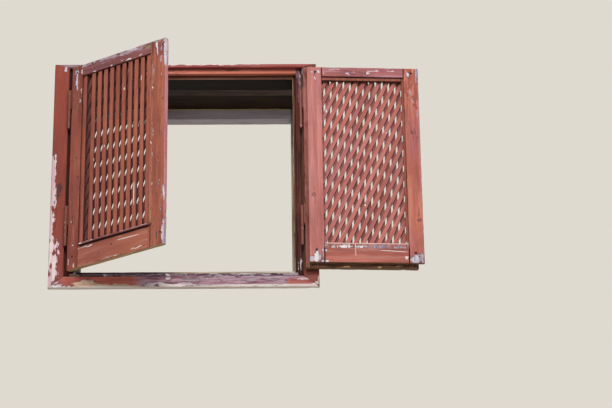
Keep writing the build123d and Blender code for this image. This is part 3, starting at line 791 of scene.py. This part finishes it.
# leaves: stiles, rails, beads and drip strips
leafBoards = {
    "round": 0.0016, "step": 0.018, "crossStep": 0.022, "wave": 0.0005, "chip": 0.0034,
    "left": {
        "hinge_stile": {
            "along": "z", "paint": "#9D5343", "deep": "#844032", "chalk": "#B87A6A", "shift": "#8E4C44",
            "peelStart": 0.78, "specks": 0.02,
            "layers": [
                {"tint": "#6E3A2C", "fleck": "#7E4636", "amount": 0.6, "ragged": 3,
                 "at": [(22, 765, 20, 60), (40, 700, 9, 60)]},
                {"tint": "#E2DCE4", "fleck": "#C6C2D2", "rim": "#5A2A2C", "ragged": 2.4, "sunk": True,
                 "at": [(17, 878, 5, 9), (22, 856, 4, 24), (26, 812, 2, 16)]},
                {"tint": "#E2D2C8", "fleck": "#C09A94", "ragged": 1.0, "sunk": True,
                 "at": [(50, 882, 2, 24), (47, 866, 4, 10), (46, 790, 2, 8), (41, 745, 2, 6)]},
                {"tint": "#DDD0CC", "rim": "#5A2A2C", "ragged": 1.0,
                 "at": [(28, 139, 3, 4), (33, 56, 4, 4), (15, 238, 2, 6), (7, 75, 2, 14)]},
                {"tint": "#3E1C18", "wander": False, "ragged": 0.6,
                 "at": [(42, 418, 3, 5), (33, 502, 2, 4), (20, 232, 3, 5)]},
            ]},
        "meeting_stile": {
            "along": "z", "paint": "#AC5F49", "deep": "#8E4D3A", "chalk": "#C98A74", "shift": "#96524A",
            "peelStart": 0.78, "specks": 0.03,
            "layers": [
                # painted light: the free edge is made lighter and pinker than the face
                {"tint": "#CE8C94", "fleck": "#BC7A82", "amount": 0.95, "limits": [("x", 0.4543, 0.4552)],
                 "gaps": (0.22, 0.40), "gapFloor": 0.5},
                {"tint": "#74383A", "fleck": "#8A4A46", "amount": 0.75, "ragged": 3,
                 "at": [(430, 862, 13, 40), (398, 885, 8, 24)]},
                {"tint": "#A79E9A", "fleck": "#6E5A58", "grain": True, "ragged": 2.2,
                 "at": [(418, 899, 38, 9), (448, 892, 14, 12)]},
                {"tint": "#E2DAE2", "fleck": "#9A98B4", "rim": "#5A2A2C", "ragged": 1.6, "sunk": True,
                 "at": [(406, 882, 3, 13), (410, 856, 3, 20), (428, 870, 3, 20), (427, 816, 3, 12),
                        (445, 852, 5, 50), (446, 800, 3, 26)]},
                {"tint": "#E4DCE6", "fleck": "#B4A8C0", "amount": 0.85,
                 "limits": [("x", 0.4543, 0.4552), ("z", 0.770, 0.800)], "gaps": (0.40, 0.47)},
                {"tint": "#E4DADA", "fleck": "#B49CA2", "rim": "#7A3A34", "ragged": 3.0, "sunk": True,
                 "at": [(445, 92, 5, 46), (447, 60, 7, 22), (442, 266, 3, 14), (438, 232, 3, 18),
                        (434, 196, 4, 14), (446, 240, 2, 24)]},
                {"tint": "#DCD8E6", "fleck": "#A09CB8", "amount": 0.85,
                 "limits": [("x", 0.4543, 0.4552), ("z", 0.150, 0.130)], "gaps": (0.42, 0.49)},
                {"tint": "#8A86A0", "ragged": 1.2, "at": [(418, 88, 2, 18)]},
                {"tint": "#AC8C62", "fleck": "#85684A", "grain": True, "ragged": 1.2,
                 "at": [(387, 166, 4, 30)]},
                {"tint": "#C08A7A", "fleck": "#B07262", "amount": 0.7, "ragged": 1.6,
                 "at": [(388, 330, 2, 120), (388, 560, 2, 80), (389, 760, 3, 60)]},
                {"tint": "#EFE2D8", "ragged": 0.8, "at": [(384, 470, 3, 6), (388, 700, 2, 8)]},
                {"tint": "#241210", "wander": False, "ragged": 0.3,
                 "at": [(387, 874, 2, 40), (387, 85, 2, 70)]},
                {"tint": "#3E1C18", "wander": False, "ragged": 0.6,
                 "at": [(417, 87, 1.5, 22), (436, 640, 2, 4)]},
            ]},
        "top_rail": {
            "along": "x", "paint": "#945A5A", "deep": "#7C4646", "chalk": "#AE9098", "chalkAmount": 0.6,
            "shift": "#7A4A50", "peelStart": 0.78, "topWear": 0.24,
            "undercoat": "#C9C3CB", "underTone": "#9C93A4",
            "layers": [
                {"tint": "#BFB2C0", "fleck": "#75606C", "grain": True, "amount": 0.9,
                 "limits": [("z", 0.8875, 0.8935)], "gaps": (0.46, 0.53), "sunk": True},
                {"tint": "#A8929E", "fleck": "#8A6A72", "amount": 0.85, "ragged": 3.2,
                 "at": [(280, 890, 70, 9), (180, 893, 50, 7), (330, 886, 34, 9), (90, 894, 30, 5)]},
                {"tint": "#DAD0DC", "fleck": "#A08A9A", "amount": 0.85, "grain": True, "ragged": 3.4,
                 "sunk": True,
                 "at": [(150, 896, 14, 3), (210, 893, 14, 4), (296, 893, 18, 5), (345, 893, 22, 4),
                        (236, 888, 8, 3)]},
                {"tint": "#E6DCDC", "fleck": "#B49AA0", "rim": "#4A2426", "ragged": 1.4, "sunk": True,
                 "at": [(272, 857, 10, 3), (193, 853, 6, 4), (110, 854, 8, 3), (240, 861, 5, 2),
                        (330, 858, 10, 2)]},
                {"tint": "#947C6A", "fleck": "#6E5248", "grain": True, "ragged": 1.6,
                 "at": [(364, 886, 20, 12)]},
                {"tint": "#2A1614", "wander": False, "ragged": 0.4, "at": [(385, 874, 2, 40)]},
                {"tint": "#3E1C18", "wander": False, "ragged": 0.8,
                 "at": [(96, 892, 3, 4), (224, 896, 3, 4)]},
            ]},
        "bottom_rail": {
            "along": "x", "paint": "#B66A54", "deep": "#9A5444", "chalk": "#CE9A88", "shift": "#A45E50",
            "peelStart": 0.78,
            "layers": [
                # painted shadow of the drip strip, across the top of the rail's outer face
                {"tint": "#24110E", "amount": 0.92,
                 "limits": [("z", 0.1225, 0.1262), ("x", 0.064, 0.070), ("x", 0.402, 0.396),
                            ("y", 0.006, 0.004)]},
                {"tint": "#B08A62", "ragged": 1.2, "at": [(78, 119, 14, 2), (250, 118, 10, 2)]},
                {"tint": "#EADFD6", "wander": False, "ragged": 0.6, "at": [(286, 107, 56, 1.4, 1.5)]},
                {"tint": "#DDD0CC", "fleck": "#B08A84", "rim": "#6A342A", "ragged": 1.6,
                 "at": [(195, 49, 44, 3), (90, 118, 28, 2), (330, 56, 26, 2)]},
                {"tint": "#4A241C", "wander": False, "ragged": 0.6,
                 "at": [(208, 98, 4, 3), (150, 80, 2, 2)]},
                {"tint": "#241210", "wander": False, "ragged": 0.3,
                 "at": [(386, 85, 1.6, 70), (50, 85, 1.2, 60)]},
            ]},
        "lattice_beads": {"along": "z", "paint": "#8A463C", "deep": "#6E342E", "chalk": "#A86A5E",
                          "peelStart": 0.78},
        "drip_strip": {
            "face": "drip", "along": "x", "paint": "#8A4C4A", "deep": "#6C3836", "chalk": "#B48A8C",
            "peelStart": 0.78, "topWear": 0.3,
            "layers": [{"tint": "#E0D4D6", "fleck": "#A98C94", "amount": 0.9,
                        "limits": [("z", 0.1356, 0.1368)], "gaps": (0.50, 0.54), "sunk": True},
                       # painted shade on the underside of the drip strip
                       {"tint": "#1E0E0C", "amount": 0.9, "limits": [("up", -0.4, -0.8)]},
                       {"tint": "#E0D4D6", "ragged": 1.0, "at": [(66, 136, 9, 4), (120, 135, 5, 3)]}]},
    },
    "right": {
        "hinge_stile": {
            "along": "z", "paint": "#CE7D74", "deep": "#B86E68", "chalk": "#DCA29E", "shift": "#C27E7C",
            "peelStart": 0.80, "crackDepth": 0.25,
            "underTone": "#C9BCC6",
            "layers": [
                {"tint": "#E8E0E4", "fleck": "#B2A6B8", "rim": "#6A302E", "ragged": 1.5, "sunk": True,
                 "at": [(35, 862, 6, 5), (55, 863, 7, 5), (43, 836, 3, 16), (34, 67, 28, 11),
                        (44, 80, 13, 12), (43, 98, 5, 8), (66, 107, 4, 7)]},
                {"tint": "#9AA6BC", "ragged": 1.0, "at": [(48, 84, 4, 5)]},
                {"tint": "#8E5650", "fleck": "#7A4A44", "amount": 0.8, "wander": False, "ragged": 1.8,
                 "at": [(33, 334, 9, 8)]},
                {"tint": "#B4736C", "amount": 0.8, "wander": False, "ragged": 0.6, "at": [(33, 334, 4, 4)]},
                {"tint": "#B0655C", "amount": 0.7, "ragged": 1.6,
                 "at": [(36, 304, 4, 16), (35, 362, 4, 12)]},
                {"tint": "#5A2A26", "wander": False, "ragged": 0.6,
                 "at": [(45, 861, 5, 5), (41, 107, 5, 5)]},
                {"tint": "#1A0C0A", "wander": False, "ragged": 0.3,
                 "at": [(70, 90, 2.2, 60), (70, 862, 1.6, 34)]},
            ]},
        "meeting_stile": {
            "along": "z", "paint": "#CA7660", "deep": "#A85B4B", "chalk": "#DCA08D", "shift": "#B8696A",
            "peelStart": 0.78,
            "undercoat": "#DAD6DE", "underTone": "#9DA0B6",
            "layers": [
                {"tint": "#AA6870", "fleck": "#BE7C82", "amount": 0.6, "limits": [("x", -0.4465, -0.4510)]},
                {"tint": "#8A463F", "fleck": "#9E554A", "amount": 0.75, "ragged": 3,
                 "at": [(424, 848, 32, 62), (434, 780, 14, 60), (400, 800, 8, 50)]},
                {"tint": "#DCDCEA", "fleck": "#A6A8C2", "rim": "#5A2A2C", "ragged": 1.4, "sunk": True,
                 "at": [(404, 858, 6, 5), (441, 868, 3, 18), (440, 838, 2, 22)]},
                {"tint": "#C4B4C2", "fleck": "#A48C9C", "ragged": 1.2,
                 "at": [(415, 779, 3, 13), (421, 740, 3, 11, 14), (440, 690, 2, 14)]},
                {"tint": "#D9D2DC", "fleck": "#9A93A6", "rim": "#5A2A2C", "ragged": 1.6, "sunk": True,
                 "at": [(417, 72, 25, 15), (431, 88, 10, 10)]},
                {"tint": "#86504A", "fleck": "#6E403A", "amount": 0.85, "wander": False, "ragged": 1.8,
                 "at": [(422, 604, 10, 6), (434, 235, 10, 7)]},
                {"tint": "#A86A60", "amount": 0.8, "wander": False, "ragged": 0.6,
                 "at": [(423, 605, 4, 3), (435, 236, 4, 3)]},
                {"tint": "#5A2A26", "wander": False, "ragged": 0.6,
                 "at": [(439, 712, 2, 3), (419, 862, 5, 5), (414, 99, 6, 5)]},
                {"tint": "#1A0C0A", "wander": False, "ragged": 0.3,
                 "at": [(389.5, 90, 2.2, 60), (389.5, 862, 1.8, 34)]},
            ]},
        "top_rail": {
            "along": "x", "paint": "#B87076", "deep": "#9C565C", "chalk": "#CC9EA6", "chalkAmount": 0.6,
            "shift": "#B0685F", "peelStart": 0.78,
            "layers": [
                {"tint": "#EAE2E4", "fleck": "#A890A6", "rim": "#5E2A30", "ragged": 1.2, "sunk": True,
                 "at": [(168, 856, 7, 4, 25), (174, 853, 6, 3, -30), (250, 858, 9, 6), (80, 860, 4, 5)]},
                {"tint": "#E2D6DA", "fleck": "#B294A2", "ragged": 1.6, "sunk": True,
                 "at": [(280, 870, 22, 2), (338, 870, 18, 2), (194, 864, 2, 6), (120, 874, 20, 2)]},
                {"tint": "#1A0C0A", "wander": False, "ragged": 0.3,
                 "at": [(71, 862, 1.6, 34), (389, 862, 1.6, 34)]},
            ]},
        "bottom_rail": {
            "along": "x", "paint": "#C27062", "deep": "#A4584E", "chalk": "#D6A298", "chalkAmount": 0.5,
            "shift": "#B66866", "peelStart": 0.78,
            "layers": [
                {"tint": "#F0E6E4", "wander": False, "ragged": 0.5,
                 "at": [(333, 105, 50, 1.3, -3), (187, 100, 1.1, 18)]},
                {"tint": "#E8E0E2", "rim": "#5A2A28", "ragged": 1.2, "sunk": True,
                 "at": [(73, 106, 4, 5), (76, 60, 5, 4), (377, 77, 4, 7)]},
                {"tint": "#1A0C0A", "wander": False, "ragged": 0.3,
                 "at": [(71, 90, 2.2, 60), (389, 90, 2.2, 60)]},
            ]},
        "lattice_beads": {
            "face": "bead", "along": "z", "paint": "#BC7A70", "deep": "#9E6058", "chalk": "#D2AAA6",
            "peelStart": 0.78, "occlusionShade": 0.6,
            "undercoat": "#E2DCDE", "underTone": "#A9A0B2",
            "layers": [
                {"tint": "#8A4636", "fleck": "#9E5844", "amount": 0.9, "limits": [("z", 0.141, 0.148)]},
                {"tint": "#1C0E0B", "amount": 0.9, "limits": [("z", 0.8375, 0.8395)]},
                {"tint": "#1C0E0B", "amount": 0.7,
                 "limits": [("z", 0.8245, 0.8260), ("z", 0.8300, 0.8285)]},
                {"tint": "#F0EAEA", "fleck": "#B8A8B4", "rim": "#6A3C3C", "ragged": 1.8, "sunk": True,
                 "at": [(152, 124, 32, 6), (205, 123, 32, 5), (104, 122, 10, 4), (70, 126, 12, 3)]},
                {"tint": "#B9ABBB", "fleck": "#8F829A", "ragged": 1.8,
                 "at": [(276, 122, 44, 7), (350, 121, 22, 5)]},
                {"tint": "#E8CCC8", "amount": 0.8,
                 "limits": [("z", 0.1345, 0.1362), ("z", 0.1410, 0.1400)]},
                {"tint": "#F0E6E4", "wander": False, "ragged": 0.4, "at": [(187, 128, 1.2, 14)]},
            ]},
        "drip_strip": {"face": "drip", "along": "x", "paint": "#8C4A44", "deep": "#6E3634",
                       "chalk": "#C79A94", "peelStart": 0.76},
    },
    # brown weathered wood where the lips have lost their paint
    "lips": {
        "left": [{"tint": "#DDBE92", "fleck": "#A88460", "grain": True,
                  "limits": [("up", -0.5, -0.85), ("z", 0.0700, 0.0640)], "gaps": (0.26, 0.34),
                  "gapFloor": 0.6}],
        "right": [{"tint": "#94664A", "fleck": "#3A251A", "grain": True,
                   "limits": [("z", 0.0600, 0.0585), ("y", 0.0230, 0.0224), ("y", 0.0195, 0.0206)],
                   "gaps": (0.28, 0.36), "gapFloor": 0.7},
                  {"tint": "#A07A58", "fleck": "#4A3020", "grain": True,
                   "limits": [("up", -0.5, -0.85), ("z", 0.0700, 0.0640)]},
                  {"tint": "#CFA674", "face": "lip", "ragged": 1.0,
                   "at": [(280, 48, 9, 5), (150, 46, 14, 3), (352, 51, 12, 3)]}],
    },
}
for side in ("left", "right"):
    face = "outside" if side == "left" else "inside"  # the face that shows while the leaf stands open
    for part, look in leafBoards[side].items():
        look = {**leafBoards, "face": face, "undercoat": "#E0D8D6", **look, "side": side}
        if side == "left" and part != "drip_strip":
            look.update(insidePaint="#A8625A", insideDeep="#8A4A44")
        if side == "right" and part not in ("drip_strip", "lattice_beads"):
            look.update(insidePaint=look["paint"], insideDeep=look["deep"], paint="#9C5446", deep="#824035")
        if part in ("hinge_stile", "meeting_stile", "bottom_rail"):
            look["layers"] = look["layers"] + leafBoards["lips"][side]
        dressBoard(side + "_leaf_" + part, side + "_leaf", look)
print("leaf boards made")

# lattice: sawn slats, with painted shade on their sides between the faces
slats = {
    "round": 0.0012, "step": 0.045, "wave": 0.0007, "chip": 0.0015,
    "left": {
        "upright_slats": {
            "face": "slat", "along": "z", "paint": "#AA5E49", "deep": "#934C3C", "chalk": "#C0806E",
            "shift": "#A05A4C", "peelStart": 0.84, "occlusionShade": 0.55, "specks": 0.02,
            "layers": [
                # painted shade on the sides of the upright slats
                {"tint": "#5E3032", "fleck": "#6E3A3A", "amount": 0.85,
                 "limits": [("y", 0.0084, 0.0096), ("y", 0.0146, 0.0134)]},
                {"tint": "#F4ECE8", "wander": False, "ragged": 0.1, "at": [(304.5, 284, 1.8, 50)]},
                {"tint": "#E2D2CC", "wander": False, "ragged": 0.8,
                 "at": [(250, 738, 3, 6), (112, 476, 3, 9), (160, 520, 2, 6), (330, 760, 2, 12),
                        (375, 560, 2, 10)]},
            ]},
        "diagonal_slats": {
            "face": "lattice", "along": "z", "lean": 24.8, "paint": "#84443A", "deep": "#63312A",
            "chalk": "#9A5E52", "peelStart": 0.84, "occlusionShade": 0.6,
            # painted shade on the sides of the diagonal slats
            "layers": [{"tint": "#301816", "amount": 0.8,
                        "limits": [("y", 0.0154, 0.0166), ("y", 0.0216, 0.0204)]},
                       # painted shade on the diagonals in the wide gap beside the hinge stile
                       {"tint": "#5A3234", "amount": 0.75, "limits": [("x", 0.100, 0.090)]}]},
    },
    "right": {
        "upright_slats": {
            "face": "slat", "along": "z", "paint": "#A56664", "deep": "#8B5250", "chalk": "#B38280",
            "peelStart": 0.84, "occlusionShade": 0.25,
            # painted shade on the sides of the upright slats
            "layers": [{"tint": "#482420", "amount": 0.85,
                        "limits": [("y", 0.0084, 0.0096), ("y", 0.0146, 0.0134)]}]},
        "diagonal_slats": {
            "face": "lattice", "along": "z", "lean": -24.8, "paint": "#C37066", "deep": "#AC5F56",
            "chalk": "#D39993", "shift": "#BC7676", "peelStart": 0.82, "occlusionShade": 0.4,
            # painted shade on the sides of the diagonal slats
            "layers": [{"tint": "#3A1F1B", "amount": 0.85,
                        "limits": [("y", 0.0154, 0.0166), ("y", 0.0216, 0.0204)]},
                       {"tint": "#E8DCDA", "wander": False, "ragged": 0.8,
                        "at": [(88, 700, 3, 7), (392, 827, 3, 4), (230, 302, 3, 5), (150, 162, 3, 3),
                               (318, 610, 2, 4)]}]},
    },
}
for side in ("left", "right"):
    for part, look in slats[side].items():
        look = {**slats, **look, "side": side}
        dressBoard(side + "_leaf_" + part, side + "_leaf", look)
print("lattice made:", len(boardsMade), "boards in all")

# hinges: steel painted over many times, one paint in two shades, darker on the left as painted shade and
# lighter on the right as painted light
hingePaint = {
    "left": {"paint": "#8C4A3C", "deep": "#643428", "rust": "#3E2219", "chalk": "#C0988C"},
    "right": {"paint": "#A05A50", "deep": "#7C4238", "rust": "#3E2219", "chalk": "#D8BEB4"},
}


def paintedSteel(name, look):
    # Forged steel under thick brushed oil paint: soft clogged edges, rust at the seams.
    paint, tree = newMaterial(name)
    where = addNode(tree, "ShaderNodeTexCoord").outputs["Object"]
    # clots of paint 9 mm wide, fading 30 mm wide
    clog = addNode(tree, "ShaderNodeTexNoise", {
        "Scale": 1 / 0.009, "Detail": 4, "Vector": where}).outputs[0]
    tone = addNode(tree, "ShaderNodeTexNoise", {"Scale": 1 / 0.03, "Detail": 3, "Vector": where}).outputs[0]
    coat = addNode(tree, "ShaderNodeMix", {
        "data_type": "RGBA", 0: tone, 6: look["paint"], 7: look["deep"]}).outputs[2]
    normal = addNode(tree, "ShaderNodeNewGeometry").outputs["Normal"]
    rounded = addNode(tree, "ShaderNodeBevel", {"samples": 4, "Radius": 0.0015}).outputs[0]
    turn = addNode(tree, "ShaderNodeVectorMath", {
        "operation": "DOT_PRODUCT", 0: rounded, 1: normal}).outputs["Value"]
    edge = addNode(tree, "ShaderNodeMapRange", {
        "Value": turn, "From Min": 0.99, "From Max": 0.85}).outputs[0]
    worn = addNode(tree, "ShaderNodeMath", {
        "operation": "MULTIPLY_ADD", 0: edge, 1: 0.5, 2: clog}).outputs[0]
    rust = addNode(tree, "ShaderNodeMapRange", {
        "interpolation_type": "SMOOTHSTEP", "Value": worn, "From Min": 0.76, "From Max": 0.86}).outputs[0]
    colour = addNode(tree, "ShaderNodeMix", {
        "data_type": "RGBA", 0: rust, 6: coat, 7: look["rust"]}).outputs[2]
    chip = addNode(tree, "ShaderNodeMapRange", {
        "Value": clog, "From Min": 0.34, "From Max": 0.31, "To Max": 0.8}).outputs[0]
    colour = addNode(tree, "ShaderNodeMix", {
        "data_type": "RGBA", 0: chip, 6: colour, 7: look["chalk"]}).outputs[2]
    relief = addNode(tree, "ShaderNodeBump", {
        "Strength": 0.8, "Distance": 0.0008, "Height": clog}).outputs[0]
    surface = addNode(tree, "ShaderNodeBsdfPrincipled", {
        "Base Color": colour, "Roughness": 0.55, "IOR": 1.5, "Specular IOR Level": 0.35,
        "Normal": relief}).outputs[0]
    addNode(tree, "ShaderNodeOutputMaterial", {"Surface": surface})
    return paint


steel = {side: paintedSteel("brushedPaintOnForgedSteel." + side, look) for side, look in hingePaint.items()}
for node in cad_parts:
    if "_hinge_" in node and node.endswith("_half"):
        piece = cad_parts[node]
        for i in range(len(piece.data.materials)):
            piece.data.materials[i] = steel[node.split("_")[0]]
print("hinges painted")

# fasteners: pegs in the corners of the leaves, slotted screws in the hinge plates, a bright one on the sill
fasteners = {
    "pegs": {"radius": 0.0040, "rise": 0.0007, "sink": 0.003, "segments": 10, "hollow": 0.0012},
    "screws": {"radius": 0.0032, "rise": 0.0009, "sink": 0.001, "segments": 14, "slot": 0.0006},
    "sillScrew": {"radius": 0.0050, "rise": 0.0030, "sink": 0.001, "segments": 16, "slot": 0.0007,
                  "round": 0.9},
    # middles of the pegs, in millimetres from the leaf's hinge edge and up
    "pegPlaces": {
        "left": ((24, 872), (24, 92), (432, 872), (432, 92)),
        "right": ((45, 861), (41, 107), (419, 862), (414, 99)),
    },
    "pegRange": (40, 408),  # the face that isn't seen has narrower boards, and a peg keeps off their edges
    # the hinge plates: how far across and deep their outer faces lie, in metres, then the heights of
    # their feet and the steps up to their screws, in millimetres
    "leafPlate": (0.006, 0.011), "leafFeet": (226, 719), "leafSteps": (16, 42, 68),
    "casingPlate": (0.449, -0.011), "casingFeet": (143, 636), "casingSteps": (14, 40, 66),
    "sillScrewPlace": (-0.4135, 0.020, 0.0495),
}


def fastenerHead(look):
    # a low cone with a rounded crown, dished for a peg and slotted for a screw
    head = bmesh.new()
    depth = look["rise"] + look["sink"]
    bmesh.ops.create_cone(head, cap_ends=True, segments=look["segments"], radius1=look["radius"],
                          radius2=look["radius"] * 0.86, depth=depth)
    bmesh.ops.translate(head, verts=head.verts, vec=(0, 0, look["rise"] - depth / 2))
    crown = [f for f in head.faces if f.normal.z > 0.9]
    bmesh.ops.bevel(head, geom=crown[0].edges[:], offset=look["rise"] * look.get("round", 0.5),
                    affect="EDGES", segments=3, profile=0.5, material=-1)
    if "hollow" in look:
        crown = [f for f in head.faces if f.normal.z > 0.99 and f.calc_area() > look["radius"] ** 2]
        bmesh.ops.inset_region(head, faces=crown, thickness=look["hollow"], depth=-look["rise"] * 0.8)
    if "slot" in look:
        for sign in (-1, 1):
            bmesh.ops.bisect_plane(head, geom=head.verts[:] + head.edges[:] + head.faces[:], dist=0.000001,
                                   plane_co=(sign * look["slot"], 0, 0), plane_no=(1, 0, 0))
        near = look["slot"] * 0.9
        strip = [f for f in head.faces if f.normal.z > 0.9 and abs(f.calc_center_median().x) < near]
        cut = bmesh.ops.extrude_face_region(head, geom=strip)
        sunk = [v for v in cut["geom"] if isinstance(v, bmesh.types.BMVert)]
        bmesh.ops.translate(head, verts=sunk, vec=(0, 0, -look["rise"] * 0.6))
    return head


def fastenerHeads(name, look, side, places, body, finish):
    # each head is turned to the way it faces, sunk a little into the board or plate, and set in its place
    mesh = bmesh.new()
    for spot, way in places:
        head = fastenerHead(look)
        swing = Matrix.Rotation(0.7 + 1.9 * len(mesh.faces), 4, "Z")
        facing = Vector(way).to_track_quat("Z", "Y").to_matrix().to_4x4()
        place = boardSpace(side) @ Matrix.Translation(spot) @ facing @ swing
        bmesh.ops.transform(head, matrix=place, verts=head.verts)
        bmesh.ops.recalc_face_normals(head, faces=head.faces)
        part = bpy.data.meshes.new("oneHead")
        head.to_mesh(part)
        head.free()
        mesh.from_mesh(part)
        bpy.data.meshes.remove(part)
    piece = newPiece(name, mesh, finish)
    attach(piece, body)


def pegWood(name):
    # Oak peg ends under thin old oil paint: dark end grain in a ring of grime.
    paint, tree = newMaterial(name)
    where = addNode(tree, "ShaderNodeTexCoord").outputs["Object"]
    # pores of the end grain are 0.3 mm wide, drawn 1 mm wide so that they show
    pores = addNode(tree, "ShaderNodeTexNoise", {
        "Scale": 1 / 0.001, "Detail": 2, "Vector": where}).outputs[0]
    stain = addNode(tree, "ShaderNodeTexNoise", {
        "Scale": 1 / 0.02, "Detail": 2, "Vector": where}).outputs[0]
    colour = addNode(tree, "ShaderNodeMix", {
        "data_type": "RGBA", 0: stain, 6: "#5E2E28", 7: "#2E1714"}).outputs[2]
    dark = addNode(tree, "ShaderNodeMapRange", {
        "Value": pores, "From Min": 0.52, "From Max": 0.66, "To Max": 0.6}).outputs[0]
    colour = addNode(tree, "ShaderNodeMix", {
        "data_type": "RGBA", 0: dark, 6: colour, 7: "#160B09"}).outputs[2]
    relief = addNode(tree, "ShaderNodeBump", {
        "Strength": 0.6, "Distance": 0.0003, "Height": pores}).outputs[0]
    surface = addNode(tree, "ShaderNodeBsdfPrincipled", {
        "Base Color": colour, "Roughness": 0.8, "IOR": 1.48, "Specular IOR Level": 0.2,
        "Normal": relief}).outputs[0]
    addNode(tree, "ShaderNodeOutputMaterial", {"Surface": surface})
    return paint


def zincScrew(name):
    # Zinc-plated steel, turned and slotted, bloomed white by weather: pale metal with a soft glint.
    finish, tree = newMaterial(name)
    where = addNode(tree, "ShaderNodeTexCoord").outputs["Object"]
    bloom = addNode(tree, "ShaderNodeTexNoise", {
        "Scale": 1 / 0.002, "Detail": 3, "Vector": where}).outputs[0]
    colour = addNode(tree, "ShaderNodeMix", {
        "data_type": "RGBA", 0: bloom, 6: "#FAFCFE", 7: "#E0E6EC"}).outputs[2]
    rough = addNode(tree, "ShaderNodeMapRange", {
        "Value": bloom, "From Min": 0.3, "From Max": 0.7, "To Min": 0.24, "To Max": 0.42}).outputs[0]
    surface = addNode(tree, "ShaderNodeBsdfPrincipled", {
        "Base Color": colour, "Metallic": 1.0, "Roughness": rough}).outputs[0]
    addNode(tree, "ShaderNodeOutputMaterial", {"Surface": surface})
    return finish


pegPaint = pegWood("oilPaintedOakPeg")
for side, corners in fasteners["pegPlaces"].items():
    sign = leafAxes[side]["sign"]
    least, most = fasteners["pegRange"]
    places = []
    for across, height in corners:
        shown = leafAcross(side, across)
        other = leafAcross(side, min(max(across, least), most))
        outside, inside = (shown, other) if side == "left" else (other, shown)
        places.append(((outside, faceDepth["outside"], height / 1000), (0, -1, 0)))
        places.append(((inside, faceDepth["inside"], height / 1000), (0, 1, 0)))
    fastenerHeads(side + "_leaf.pegs", fasteners["pegs"], side, places,
                  side + "_leaf", pegPaint)
    across, depth = fasteners["leafPlate"]
    onLeaf = [((sign * across, depth, (base + step) / 1000), (-sign, 0, 0))
              for base in fasteners["leafFeet"] for step in fasteners["leafSteps"]]
    fastenerHeads(side + "_leaf.hingeScrews", fasteners["screws"], side, onLeaf,
                  side + "_leaf", steel[side])
    across, depth = fasteners["casingPlate"]
    onCasing = [((-sign * across, depth, (base + step) / 1000), (sign, 0, 0))
                for base in fasteners["casingFeet"] for step in fasteners["casingSteps"]]
    fastenerHeads(side + "_casing.hingeScrews", fasteners["screws"], None, onCasing,
                  "root", steel[side])
fastenerHeads("sillScrew", fasteners["sillScrew"], None, [(fasteners["sillScrewPlace"], (0, -1, 0))],
              "root", zincScrew("zincPlatedSteelScrew"))
print("fasteners made")
